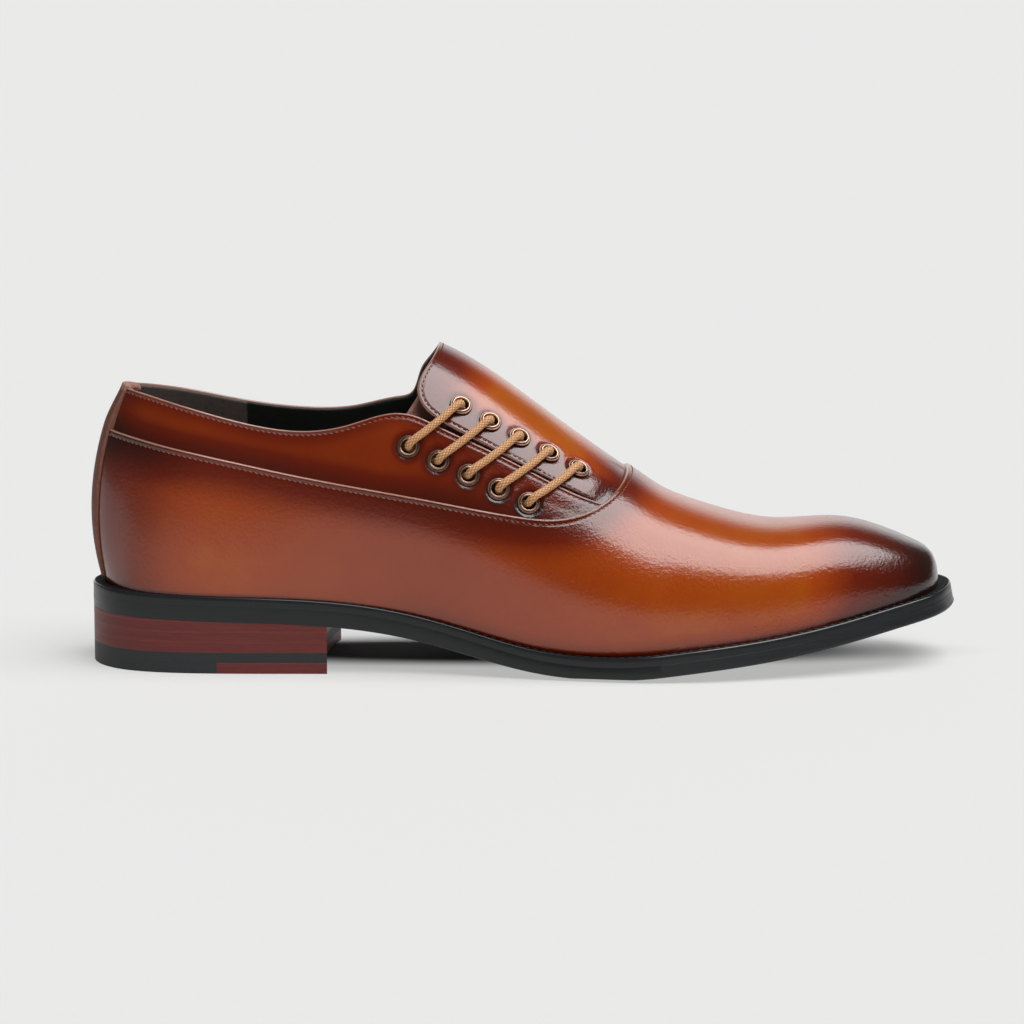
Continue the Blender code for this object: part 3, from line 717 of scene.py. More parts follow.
def cells(tree, place, scale):
    return add(tree, "ShaderNodeTexVoronoi", {"Vector": place, "Scale": scale}).outputs[0]


def object_place(tree):
    return add(tree, "ShaderNodeTexCoord").outputs["Object"]


def axes(tree, vector):
    return add(tree, "ShaderNodeSeparateXYZ", {0: vector}).outputs[:3]


def attribute(tree, name):
    """Value of the piece's own attribute."""
    return add(tree, "ShaderNodeAttribute", attribute_name=name).outputs["Fac"]


def opaque(colour, share=1.0):
    """A colour with its alpha, made darker or lighter by share."""
    return (*(min(1.0, share * value) for value in colour), 1.0)


def node_group(name, kind, inputs, outputs):
    """Empty node group with named sockets, and its two end nodes."""
    tree = bpy.data.node_groups.new(name, kind)
    for in_out, sockets in (("INPUT", inputs), ("OUTPUT", outputs)):
        for label, socket_type, default in sockets:
            socket = tree.interface.new_socket(label, in_out=in_out, socket_type=socket_type)
            if default is not None:
                socket.default_value = default
    return tree, tree.nodes.new("NodeGroupInput"), tree.nodes.new("NodeGroupOutput")


def place_group(tree, name, inputs):
    return add(tree, "ShaderNodeGroup", inputs, node_tree=bpy.data.node_groups[name]).outputs


def make_grain_group():
    """Pores and soft waves of smooth leather, deepest on the vamp, as a height, and blotches as a mask."""
    tree, start, end = node_group(
        "leather_grain",
        "ShaderNodeTree",
        [("Pores", NUMBER, 1500.0), ("Blotches", NUMBER, 60.0)],
        [("Height", NUMBER, None), ("Blotch", NUMBER, None)],
    )
    place, pores = object_place(tree), start.outputs["Pores"]
    waves = noise(tree, place, math_node(tree, "MULTIPLY", pores, 0.5))
    height = multiply_add(tree, cells(tree, place, pores), 0.3, waves)
    depth = map_range(tree, axes(tree, place)[0], -60 * MM, 40 * MM, 0.4, 1.0)
    tree.links.new(math_node(tree, "MULTIPLY", height, depth), end.inputs["Height"])
    tree.links.new(noise(tree, place, start.outputs["Blotches"], 4.0, 0.6), end.inputs["Blotch"])


def make_patina_group(settings):
    """Hand-rubbed colour from honey over tan and brown to the burnished stop, uneven by blotches. Its
    Burnish input also carries painted shade.
    """
    tree, start, end = node_group(
        "patina",
        "ShaderNodeTree",
        [("Burnish", NUMBER, 0.0), ("Blotch", NUMBER, 0.5), ("Unevenness", NUMBER, 0.3)],
        [("Color", "NodeSocketColor", None)],
    )
    burnish, blotch, unevenness = start.outputs[:3]
    uneven = math_node(tree, "SUBTRACT", blotch, 0.5)
    depth = math_node(tree, "MULTIPLY_ADD", uneven, unevenness, burnish, clamp=True)
    ramp = add(tree, "ShaderNodeValToRGB", {0: depth})
    stops = ((0.0, settings.honey), (0.13, settings.tan), (0.5, settings.brown), (1.0, settings.burnish))
    elements = ramp.color_ramp.elements
    while len(elements) < len(stops):
        elements.new(0.5)
    for element, (position, colour) in zip(elements, stops):
        element.position = position
        element.color = opaque(colour)
    tree.links.new(ramp.outputs[0], end.inputs["Color"])


def new_material(name, **constants):
    """Tree and Principled shader of a new material, its constants set on the shader's own sockets."""
    made = bpy.data.materials.new(name)
    made.use_nodes = True
    shader = made.node_tree.nodes["Principled BSDF"]
    for key, value in constants.items():
        shader.inputs[key.replace("_", " ")].default_value = value
    return made.node_tree, shader


def finish_material(tree, shader, colour, roughness, height, strength, distance):
    """Feeds a shader its colour, its roughness and a bump."""
    tree.links.new(colour, shader.inputs["Base Color"])
    tree.links.new(roughness, shader.inputs["Roughness"])
    inputs = {"Height": height, "Strength": strength, "Distance": distance}
    tree.links.new(add(tree, "ShaderNodeBump", inputs).outputs[0], shader.inputs["Normal"])


def leather_material(settings):
    """Polished leather whose burnishing and rubbing follow the piece's own attributes, which also carry
    painted shade and a painted highlight on the folded edges.
    """
    tree, shader = new_material(
        "polished_leather", Specular_IOR_Level=0.58, Coat_Weight=0.25, Coat_Roughness=0.08
    )
    height, blotch = place_group(tree, "leather_grain", {"Pores": settings.grain, "Blotches": 55.0})
    inputs = {"Burnish": attribute(tree, "burnish"), "Blotch": blotch, "Unevenness": 0.12}
    patina = place_group(tree, "patina", inputs)[0]
    # Folded edges lightened: rubbed wear and a painted highlight along the fold
    colour = mix_colour(tree, attribute(tree, "rub"), patina, opaque(settings.rubbed))
    finish_material(tree, shader, colour, multiply_add(tree, blotch, 0.08, 0.15), height, 1.0, 0.12 * MM)


def pebbled_material(settings):
    """Matt pebbled leather, lighter where the piece's own attribute says that it is worn."""
    tree, shader = new_material("pebbled_hide", Specular_IOR_Level=0.25)
    place = object_place(tree)
    patches = noise(tree, place, 500.0, 3.0, 0.6)
    uneven = math_node(tree, "SUBTRACT", patches, 0.5)
    share = math_node(tree, "MULTIPLY_ADD", uneven, 0.5, attribute(tree, "worn"), clamp=True)
    colour = mix_colour(tree, share, opaque(settings.pebbled), opaque(settings.worn))
    pebbles = cells(tree, place, 1300.0)
    finish_material(tree, shader, colour, multiply_add(tree, patches, 0.2, 0.5), pebbles, 0.8, 0.2 * MM)


def lining_material(settings):
    """Black lining leather, and suede behind the seam at the heel."""
    tree, shader = new_material("lining_hide", Specular_IOR_Level=0.3)
    place = object_place(tree)
    suede = map_range(tree, axes(tree, place)[0], -98 * MM, -98.6 * MM)
    nap = noise(tree, place, 900.0, 4.0, 0.7)
    colour = mix_colour(tree, suede, opaque(settings.lining), opaque(settings.heel_lining))
    shade = multiply_add(tree, nap, 0.9, 0.55)
    grey = add(tree, "ShaderNodeCombineColor", {0: shade, 1: shade, 2: shade}).outputs[0]
    colour = mix_colour(tree, 1.0, colour, grey, "MULTIPLY")
    finish_material(tree, shader, colour, multiply_add(tree, suede, 0.35, 0.5), nap, 0.4, 0.15 * MM)


def sole_material(colour):
    """Waxed black edge with faint rubbing and a fine grain. The piece's own shade attribute darkens it with
    painted shade and makes it rougher, or polishes it where it is negative."""
    tree, shader = new_material("waxed_edge", Specular_IOR_Level=0.3, Coat_Roughness=0.22)
    place, shade = object_place(tree), attribute(tree, "shade")
    streaks = streaked_noise(tree, place, (60.0, 60.0, 900.0), 3.0, 0.6)
    tint = mix_colour(tree, streaks, opaque(colour), opaque(colour, 2.2))
    # Painted shade: darker where the shade attribute is 1
    tint = mix_colour(tree, shade, tint, opaque(colour, 0.2))
    roughness = multiply_add(tree, shade, 0.4, multiply_add(tree, streaks, 0.3, 0.23))
    polish = math_node(tree, "MULTIPLY_ADD", shade, -0.8, 0.12, clamp=True)
    tree.links.new(polish, shader.inputs["Coat Weight"])
    grain = math_node(tree, "ADD", streaks, noise(tree, place, 1400.0))
    finish_material(tree, shader, tint, roughness, grain, 0.12, 0.15 * MM)


def stack_material(settings):
    """Stained leather of the heel's lifts: fine layers, rubbed fibres and pale glue lines at the joints."""
    tree, shader = new_material(
        "heel_stack", Specular_IOR_Level=0.35, Coat_Weight=0.05, Coat_Roughness=0.35
    )
    place = object_place(tree)
    layers = streaked_noise(tree, place, (35.0, 35.0, 2600.0), 4.0, 0.65)
    fibres = streaked_noise(tree, place, (260.0, 260.0, 1500.0), 3.0, 0.6)
    dark, stain, light = (opaque(settings.stack, share) for share in (0.45, 1.0, 1.7))
    colour = mix_colour(tree, map_range(tree, layers, 0.3, 0.7), dark, stain)
    colour = mix_colour(tree, math_node(tree, "MULTIPLY", fibres, 0.45), colour, light)
    from_joint = math_node(tree, "SUBTRACT", axes(tree, place)[2], BLACK_LIFT_TOP)
    from_joint = math_node(tree, "PINGPONG", from_joint, HEEL_LIFT / 2)
    glue = map_range(tree, from_joint, 0.08 * MM, 0.3 * MM, 0.9, 0.0)
    colour = mix_colour(tree, math_node(tree, "MULTIPLY", glue, fibres), colour, light)
    height = math_node(tree, "ADD", layers, fibres)
    finish_material(tree, shader, colour, multiply_add(tree, fibres, 0.3, 0.33), height, 0.25, 0.15 * MM)


def metal_material(settings):
    """Antique copper, dark in patches and polished on its rim."""
    tree, shader = new_material("antique_copper", Metallic=1.0)
    patches = noise(tree, object_place(tree), 700.0, 4.0, 0.65)
    dull = multiply_add(tree, patches, 0.7, 0.55)
    tarnish = math_node(tree, "SUBTRACT", dull, attribute(tree, "rim"), clamp=True)
    colour = mix_colour(tree, tarnish, opaque(settings.metal), opaque(settings.tarnish))
    finish_material(tree, shader, colour, multiply_add(tree, tarnish, 0.2, 0.24), patches, 0.1, 0.05 * MM)


def cord_material(settings):
    """Waxed woven cord, darker between its strands as painted shade."""
    tree, shader = new_material("woven_cord", Sheen_Weight=0.15)
    fibres = noise(tree, object_place(tree), 2600.0, 2.0, 0.6)
    crown = map_range(tree, attribute(tree, "weave"), 0.15, 0.85)
    # Painted shade between the strands, where the weave is low
    colour = mix_colour(tree, crown, opaque(settings.between), opaque(settings.cord))
    colour = mix_colour(tree, math_node(tree, "MULTIPLY", fibres, 0.35), colour, opaque(settings.cord, 0.7))
    finish_material(tree, shader, colour, multiply_add(tree, fibres, 0.2, 0.45), fibres, 0.25, 0.1 * MM)


def thread_material(name, colour):
    """Twisted thread."""
    tree, shader = new_material(name)
    fibres = noise(tree, object_place(tree), 3200.0)
    tint = mix_colour(tree, fibres, opaque(colour, 0.5), opaque(colour, 1.5))
    finish_material(tree, shader, tint, multiply_add(tree, fibres, 0.2, 0.45), fibres, 0.3, 0.1 * MM)


def rubber_material(colour):
    """Matt moulded rubber with a fine speckle."""
    tree, shader = new_material("moulded_rubber")
    specks = noise(tree, object_place(tree), 1800.0, 3.0, 0.6)
    tint = mix_colour(tree, specks, opaque(colour), opaque(colour, 2.4))
    finish_material(tree, shader, tint, multiply_add(tree, specks, 0.25, 0.45), specks, 0.3, 0.12 * MM)


def make_materials(scene):
    make_grain_group()
    upper, sole, lace, stitch = scene.shoe_upper, scene.shoe_sole, scene.shoe_lace, scene.shoe_stitch
    make_patina_group(upper)
    leather_material(upper)
    pebbled_material(upper)
    lining_material(upper)
    sole_material(sole.black)
    stack_material(sole)
    rubber_material(sole.rubber)
    metal_material(lace)
    cord_material(lace)
    thread_material("upper_thread", stitch.thread_colour)
    # Dark thread of the flap, painted shade of its stitch holes
    thread_material("flap_thread", stitch.flap_stitch_shade_colour)
    thread_material("welt_thread", stitch.welt_colour)


def material(name):
    return bpy.data.materials[name]


def lower_lines():
    """Lines of the lower panel: from the seam, heel to throat to heel, down to the welt and the toe."""
    halves = []
    for side in (-1, 1):
        seam = seam_half(side)
        seam_points = curve_points(seam)
        turn = float(np.interp(SEAM_TURN_X, seam_points[:, 0], share_along(seam_points)))
        shares = np.concatenate([np.linspace(0, turn, 110)[:-1], np.linspace(turn, 1, 130)])
        upper = evenly(seam, shares)
        foot = np.stack([np.linspace(0, TIP, 600), np.full(600, 0.0 if side < 0 else 2.0)], axis=-1)
        foot_run = share_along(curve_points(foot))
        start = np.interp(np.interp(turn, shares, upper[:, 0]), foot[:, 0], foot_run)
        ahead = start + (1 - start) * np.clip((shares - turn) / (TIP_SHARE - turn), 0, 1)
        foot_s = np.where(shares < turn, upper[:, 0], np.interp(ahead, foot_run, foot[:, 0]))
        edge = np.clip((shares - TIP_SHARE) / (1 - TIP_SHARE), 0, 1)
        foot_q = edge if side < 0 else 2 - edge
        halves.append((upper, np.stack([foot_s, foot_q], axis=-1)))
    upper = np.concatenate([halves[0][0], halves[1][0][-2::-1]])
    lower = np.concatenate([halves[0][1], halves[1][1][-2::-1]])
    return ruled(upper, lower)


def tucked(curve, depth):
    """A seam curve moved down the skin by depth, under the lower panel's edge."""
    s, q = curve[:, 0], curve[:, 1]
    step = 0.01
    down = np.where(q <= 1, -step, step)
    size = np.linalg.norm(skin(s, q + down) - skin(s, q), axis=-1)
    shift = np.minimum(depth / np.maximum(size, 0.05 * MM), 8) * down
    ridge = bump(q, 1.0, 0.06)
    return np.stack([s + ridge * 0.25, q + shift * (1 - ridge)], axis=-1)


def quarter_lines():
    """Lines of the outer quarter: from the collar and the slit's lower lip down to the seam."""
    s = np.linspace(0, lateral_section(QUARTER_END), 900)
    top = np.stack([s, q_where(edge_height(QUARTER_EDGE), s, -1)], axis=-1)
    upper = evenly(top, np.linspace(0, 1, 300))
    lower = np.stack([upper[:, 0], q_where(edge_height(SEAM_EDGE), upper[:, 0], -1)], axis=-1)
    return ruled(upper, tucked(lower, TUCK))


def flap_lines():
    """Lines of the instep flap, which goes on over the ridge as the inner quarter: from the slit's upper
    lip, the rear edge and the inner collar to the seam."""
    lip = smooth_edge(FLAP_EDGE)
    s, q = lateral_place(lip[:, 0], lip[:, 1])
    over = int(np.argmax(q > 0.999))
    lip = np.stack([s, q], axis=-1)[:over]
    peak = lip[-1, 0]
    inner_s = np.linspace(peak, 0, 900)
    inner = np.stack([inner_s, q_where(edge_height(MEDIAL_EDGE), inner_s, 1)], axis=-1)
    inner[0] = peak, 1.0
    inner = inner[1:]
    top = np.concatenate([lip, [[peak, 1.0]], inner])
    outer_seam, inner_seam = seam_half(-1), seam_half(1)
    outer_seam = outer_seam[outer_seam[:, 0] >= lateral_section(FLAP_START)]
    seam = np.concatenate([outer_seam, inner_seam[-2::-1]])

    top_run, seam_run = share_along(curve_points(top)), share_along(curve_points(seam))
    corner = top_run[int(np.argmin(curve_points(lip)[:, 0]))]
    ridge = top_run[len(lip)]
    throat = seam_run[len(outer_seam) - 1]
    inner_x = curve_points(inner)[:, 0]
    inner_corner = top_run[len(lip) + 1 + int(np.argmax(inner_x < INNER_CORNER_X))]
    seam_x = curve_points(seam)[:, 0]
    past = np.arange(len(seam)) > len(outer_seam)
    at_front = seam_run[int(np.argmax(past & (seam_x < INNER_FRONT_X)))]
    at_waist = seam_run[int(np.argmax(past & (seam_x < INNER_WAIST_X)))]
    top_knots = (0, corner, ridge, inner_corner, 1)
    seam_knots = (0, 0.75 * throat, throat + 0.35 * (at_front - throat), at_waist, 1)
    shares = np.concatenate(
        [
            np.linspace(0, corner, 130)[:-1],
            np.linspace(corner, ridge, 60)[:-1],
            np.linspace(ridge, inner_corner, 60)[:-1],
            np.linspace(inner_corner, 1, 170),
        ]
    )
    upper = evenly(top, shares)
    lower = evenly(seam, np.interp(shares, top_knots, seam_knots))
    return ruled(upper, tucked(lower, TUCK))


def to_seam(lines, away):
    """Distances from the seam along a facing's lines, away being those from its edge."""
    return np.maximum(lines.run[:, -1:] - away / lines.slant[:, None] - TUCK, 0)


def flat_form(points, away, below):
    return np.zeros(points.shape[:-1])


def quarter_form(points, away, below):
    """Lift of the outer quarter, whose lip stands out along the slit."""
    return 0.55 * MM * fade(away, 0, 8 * MM) * smooth_step(points[..., 0], -44 * MM, -26 * MM)


def flap_form(points, away, below):
    """Lift of the flap, whose front end dips towards the seam."""
    x, y, z = (points[..., k] / MM for k in range(3))
    place = smooth_step(x, 4, 14) * fade(y, -4, 6) * (1 - 0.6 * smooth_step(z, 62, 69))
    return -0.9 * MM * fade(below, 0, 8 * MM) * place


def rubbed(away, middle):
    """How much a folded edge is rubbed and lit by a painted highlight along the fold, most at a distance of
    middle from it.
    """
    return 0.85 * bump(away, middle, 0.25 * MM)


def dimples(points, places, reach):
    """1 under the eyelets' flanges, fading to 0 at a distance of reach round them."""
    depth = np.zeros(points.shape[:-1])
    for centre, _ in places:
        away = np.linalg.norm(points - centre, axis=-1)
        depth = np.maximum(depth, fade(away, FLANGE - 0.2 * MM, FLANGE + reach))
    return depth


def folded(distance, low, high, sewn, radius=0.7 * MM):
    """Lift of a leather panel's face by its distance from a folded edge that is sewn at sewn."""
    bead = 0.1 * MM * bump(distance, 0.45 * sewn, 0.3 * sewn)
    groove = 0.16 * MM * bump(distance, sewn, 0.32 * MM)
    return low + (high - low) * edge_round(distance, radius) + bead - groove


class SHOE_OT_materials(Operator):
    """Makes the leathers, threads, metal and sole finishes"""

    bl_idname = "shoe.materials"
    bl_label = "Materials"

    def execute(self, context):
        make_materials(context.scene)
        return {"FINISHED"}


class SHOE_OT_lower_panel(Operator):
    """Builds the lower panel, vamp and lower quarters in one, with its folded edge"""

    bl_idname = "shoe.lower_panel"
    bl_label = "Lower panel"

    def execute(self, context):
        lines = lower_lines()
        s, q, away = panel_rows(lines, EDGE_ROWS, 46)
        points = skin(s, q)
        under = -0.3 * MM
        outer = lifted(s, q, folded(away, under, OVERLAY, SEAM_ROW))
        inner = lifted(s, q, under)
        foot = s[:, -1] < TIP - 0.001
        outer[foot, -1, 2] -= GAP
        inner[foot, -1, 2] -= GAP
        body = shell(outer, inner, ring=True)
        make_piece(
            "lower_panel", *body, material("polished_leather"), "upper_leather", ["upper"],
            {"burnish": lower_burnish_and_shade(points, away), "rub": rubbed(away, 0.35 * MM)},
        )
        return {"FINISHED"}


def lower_burnish_and_shade(points, away):
    """Burnish of the lower panel: dark toe, heel and edges, tan in between, with painted shade below the
    seam at the heel and along the welt, and painted light in a band about 12 mm over the welt.
    """
    x, z = points[..., 0] / MM, points[..., 2] / MM
    distance = away / MM
    toe = 0.55 * smooth_step(x, 94, 124) + 0.38 * smooth_step(x, 116, 143)
    heel = 0.45 * smooth_step(-x, 108, 152)
    seam = (0.4 + 0.13 * bump(x, 5, 30)) * fade(distance, 1.5, 17)
    # Painted shade below the seam at the heel
    painted_heel_shade = 0.15 * bump(x, -124, 16) * fade(distance, 4, 20)
    waist = 0.14 * bump(x, -35, 55)
    above = z - welt_top(points[..., 0]) / MM
    forward = smooth_step(x, -60, -10)
    # Painted shade along the foot of the panel, where it meets the welt
    foot = 0.15 * forward * fade(above, 1, 7)
    foot = foot + 0.4 * fade(above, 0.2, 1.2 + forward)
    # Painted light: a lighter band about 12 mm over the welt
    pale = 0.03 * bump(above, 12, 7) * fade(x, 0, 40)
    return np.clip(0.1 + toe + heel + seam + painted_heel_shade + waist + foot - pale, 0, 1)


class SHOE_OT_facings(Operator):
    """Builds the outer quarter and the instep flap, and punches their eyelet holes"""

    bl_idname = "shoe.facings"
    bl_label = "Quarter and flap"

    def execute(self, context):
        places = eyelet_places()
        leather = context.scene.shoe_upper.leather
        for name, lines, count, spots, burnish_of, form_of in (
            ("outer_quarter", quarter_lines(), 30, places["lower"], quarter_burnish, quarter_form),
            ("instep_flap", flap_lines(), 60, places["upper"], flap_burnish, flap_form),
        ):
            s, q, away = panel_rows(lines, EDGE_ROWS, count)
            points = skin(s, q)
            drawn_in = DIMPLE * dimples(points, spots, DIMPLE_REACH)
            form = form_of(points, away, to_seam(lines, away)) - drawn_in
            middle, radius = -leather / 2, 0.55 * MM
            outer = lifted(s, q, folded(away, middle, 0.0, EDGE_ROW, radius) + form)
            inner = lifted(s, q, middle + (-leather - middle) * edge_round(away, radius) + form)
            # Painted shade in the dimples round the eyelets, which darkens the leather there
            stain = 0.35 * dimples(points, spots, DIMPLE_SHADE_REACH)
            burnish = np.clip(burnish_of(points, away) + stain, 0, 1)
            piece = make_piece(
                name, *shell(outer, inner), material("polished_leather"), "upper_leather", ["upper"],
                {"burnish": burnish, "rub": rubbed(away, 0.2 * MM)},
            )
            punch_eyelets(piece, spots)
        return {"FINISHED"}


def over_seam(points):
    """Height of points over the seam's edge, in millimetres."""
    return (points[..., 2] - edge_height(SEAM_EDGE)(points[..., 0])) / MM


def quarter_burnish(points, away):
    """Burnish of the outer quarter: dark round the eyelets, the collar edge and the heel."""
    x, distance = points[..., 0] / MM, away / MM
    edge = 0.15 * fade(distance, 0.5, 7)
    lacing = 0.1 * smooth_step(x, -52, -26)
    heel = 0.25 * smooth_step(-x, 128, 146)
    seam = (0.3 + 0.1 * bump(x, -120, 18)) * fade(over_seam(points), 1, 9)
    middle = 0.06 * bump(x, -80, 25)
    return np.clip(0.34 + edge + lacing + heel + seam + middle, 0, 1)


def flap_burnish(points, away):
    """Burnish of the flap: dark along the slit and the throat, tan on its shoulder."""
    x, y, distance = points[..., 0] / MM, points[..., 1] / MM, away / MM
    edge = 0.58 * fade(distance, 3, 25)
    throat = 0.5 * smooth_step(x, 18, 36)
    heel = 0.55 * smooth_step(-x, 122, 146)
    seam = 0.3 * fade(over_seam(points), 0.5, 8) * (y > 8)
    return np.clip(0.06 + edge + throat + heel + seam, 0, 1)


class SHOE_OT_lining(Operator):
    """Lines the inside of the upper"""

    bl_idname = "shoe.lining"
    bl_label = "Lining"

    def execute(self, context):
        places = eyelet_places()
        leather = context.scene.shoe_upper.leather
        for name, lines, count, spots, margin, form_of in (
            ("quarter_lining", quarter_lines(), 16, places["lower"], 0.45 * MM, quarter_form),
            ("flap_lining", flap_lines(), 30, places["upper"], 0.45 * MM, flap_form),
            ("lower_lining", lower_lines(), 24, (), 0.0, flat_form),
        ):
            if margin:
                edge = np.stack(inset(lines, np.full(len(lines.run), margin)), axis=-1)
                lines = ruled(edge, lines.lower)
            s, q, away = panel_rows(lines, EDGE_ROWS[::2], count)
            high, low = -leather - 0.05 * MM, -WALL
            form = form_of(skin(s, q), away, to_seam(lines, away))
            outer = lifted(s, q, high + form)
            inner = lifted(s, q, high + (low - high) * edge_round(away, 0.6 * MM) + form)
            body = shell(outer, inner, ring=not spots)
            piece = make_piece(name, *body, material("lining_hide"), "lining_leather", ["upper"])
            if spots:
                punch_eyelets(piece, spots)
        return {"FINISHED"}


class SHOE_OT_backstay(Operator):
    """Builds the strip over the back seam"""

    bl_idname = "shoe.backstay"
    bl_label = "Backstay"

    def execute(self, context):
        over, inside = GAP + BACKSTAY, -WALL - 0.6 * MM
        border = 1 - EDGE_ROWS[:7] / BACKSTAY_HALF
        across = np.concatenate([-border, np.linspace(-0.85, 0.85, 25), border[::-1]])
        widths = np.linspace(0, 1.8, 240)
        half = column(LAST, "lateral", widths) * BALL_WIDTH / 100
        top = collar_share()
        climb = np.linspace(0.02 * top, top, 90)
        turn = np.linspace(0, math.pi, 15)[1:]
        drop = np.linspace(0, 1, 12)[1:]
        share = np.concatenate([climb, np.full(len(turn), top), top - 0.08 * drop])
        flared = np.concatenate([np.zeros(len(climb)), smooth_step(turn, 0, 1.5), np.ones(len(drop))])
        widening = 1 + flared[:, None] * np.where(across > 0, 0.65, 0.1)
        s = np.interp(np.abs(across)[None, :] * BACKSTAY_HALF * widening, half, widths)
        q = np.where(across[None, :] < 0, share[:, None], 2 - share[:, None])
        z = skin(0.0, climb)[:, 2]
        seam_z = float(edge_height(SEAM_EDGE)(-LENGTH / 2))
        on_strip = over + OVERLAY * fade(z, seam_z - MM, z[-1])
        fold = (over + inside) / 2 + (over - inside) / 2 * np.cos(turn)
        face = np.concatenate([on_strip, fold, np.full(len(drop), inside)])[:, None]
        buried = 0.2 * MM
        hidden = -WALL / 2 + (WALL / 2 - buried) * np.cos(turn)
        back = [np.full(len(climb), -buried), hidden, np.full(len(drop), -WALL + buried)]
        back = np.concatenate(back)[:, None]
        rise = np.concatenate([np.zeros(len(climb)), np.sin(turn), np.zeros(len(drop))])[:, None]
        edge = (1 - np.abs(across))[None, :] * BACKSTAY_HALF
        end = np.concatenate([z - z[0], np.full(len(turn), 9 * MM), (1 - drop) * 6 * MM])
        rim = np.minimum(edge_round(edge, 0.5 * MM), edge_round(end[:, None], 0.6 * MM))
        outer = lifted(s, q, back + (face - back) * rim)
        outer[..., 2] += 1.3 * MM * rise * rim
        inner = lifted(s, q, back)
        cap = smooth_step(share, 0.97 * top, top)[:, None]
        worn = 0.1 + 0.75 * cap + 0.25 * fade(edge / MM, 0.1, 1.0) + 0 * s
        make_piece(
            "heel_backstay", *shell(outer, inner), material("pebbled_hide"), "upper_leather", ["backstay"],
            {"worn": np.clip(worn, 0, 1)},
        )
        return {"FINISHED"}


def collar_share():
    """q of the collar's edge at the middle of the heel."""
    return float(q_where(edge_height(QUARTER_EDGE), np.zeros(1), -1)[0])


class SHOE_OT_tongue(Operator):
    """Builds the tongue under the lacing slit"""

    bl_idname = "shoe.tongue"
    bl_label = "Tongue"

    def execute(self, context):
        start, end = (np.array(edge) * MM for edge in SLIT)
        length = np.linalg.norm(end - start)
        ahead = (end - start) / length
        aside = np.array([-ahead[1], ahead[0]])
        run = np.linspace(-TONGUE_BEHIND, length + TONGUE_AHEAD, 90)
        sideways = np.linspace(-TONGUE_HALF, TONGUE_HALF, 40)
        slant = TONGUE_SLANT * np.linspace(1, 0, len(run))[:, None] * (sideways / TONGUE_HALF)
        spots = start + (run[:, None] + slant)[..., None] * ahead + sideways[None, :, None] * aside
        s, q = lateral_place(spots[..., 0].ravel(), spots[..., 1].ravel())
        s, q = s.reshape(spots.shape[:2]), q.reshape(spots.shape[:2])
        under_wall, under_lace = -WALL - GAP, -WALL - 3 * GAP - 2 * LACE
        lift = np.interp(run, (run[-1] - TONGUE_RISE, run[-1]), (under_lace, under_wall))[:, None]
        margin = np.minimum(TONGUE_HALF - np.abs(sideways)[None, :], (run - run[0])[:, None])
        rim = edge_round(np.maximum(margin, 0), 0.8 * MM)
        outer = lifted(s, q, lift - TONGUE / 2 + TONGUE / 2 * rim)
        inner = lifted(s, q, lift - TONGUE / 2 - TONGUE / 2 * rim)
        worn = 0.4 + 0.5 * fade((run - run[0]) / MM, 1.0, 1.6)[:, None] + 0 * s
        make_piece(
            "lace_tongue", *shell(outer, inner), material("pebbled_hide"), "tongue_leather", ["tongue"],
            {"worn": worn},
        )
        return {"FINISHED"}


def outline(s, side, outset=0.0):
    """Points (x, y) of the sole's outline on one side (-1 lateral, 1 medial), moved out by outset."""
    s, outset = np.broadcast_arrays(np.asarray(s, float), np.asarray(outset, float))

    def edge(number):
        y = side * column(SOLE_OUTLINE, "lateral" if side < 0 else "medial", number) * BALL_WIDTH / 100
        return np.stack([along_x(column(SOLE_OUTLINE, "along", number)), y], axis=-1)

    tangent = edge(np.minimum(s + 0.01, TIP)) - edge(np.maximum(s - 0.01, 0))
    outward = np.stack([tangent[..., 1], -tangent[..., 0]], axis=-1) * -side
    outward[(s <= 0) | (s >= TIP), 1] = 0
    outward /= np.linalg.norm(outward, axis=-1, keepdims=True)
    return edge(s) + outward * outset[..., None]


def even_sections(count, start=0.0, end=TIP):
    """Section numbers that divide the lateral sole edge from start to end into equal runs."""
    s = np.linspace(start, end, 600)
    run = run_along(outline(s, -1))
    return np.interp(np.linspace(0, run[-1], count + 1), run, s)


def section_at(x):
    """Section number where the sole's outline passes x, ahead of the heel's curve."""
    numbers = np.linspace(1, TIP, 1200)
    return float(np.interp(x, along_x(column(SOLE_OUTLINE, "along", numbers)), numbers))


def plate(sections, levels, columns):
    """Points and faces of a solid stacked from outlines of the sole. Each level is an outset and a
    height as a function of x, top first. A plate that ends at the heel's breast has it hollow and
    slanted."""
    share = np.linspace(0, 1, columns + 1)[None, :, None]
    grids = []
    for outset, height in levels:
        lateral, medial = (outline(sections, side, outset)[:, None, :] for side in (-1, 1))
        flat = lateral * (1 - share) + medial * share
        if sections[-1] < TIP:
            near_breast = np.clip((flat[..., :1] - BREAST_X) / BREAST_BLEND + 1, 0, 1)
            flat[..., :1] += near_breast * (BREAST_SLANT * share - BREAST_HOLLOW * 4 * share * (1 - share))
        grids.append(np.concatenate([flat, height(flat[..., 0])[..., None]], axis=-1))
    n, m = grids[0].shape[:2]
    index = np.arange(len(grids) * n * m).reshape(len(grids), n, m)
    faces = [grid_faces(grid) for grid in (index[0], index[-1])]
    for over, under in zip(index, index[1:]):
        faces += [strips(over[:-1, j], over[1:, j], under[1:, j], under[:-1, j]) for j in (0, -1)]
        ends = [i for i, open_end in ((0, sections[0] > 0), (-1, sections[-1] < TIP)) if open_end]
        faces += [strips(over[i, :-1], over[i, 1:], under[i, 1:], under[i, :-1]) for i in ends]
    return np.concatenate([grid.reshape(-1, 3) for grid in grids]), np.concatenate(faces)


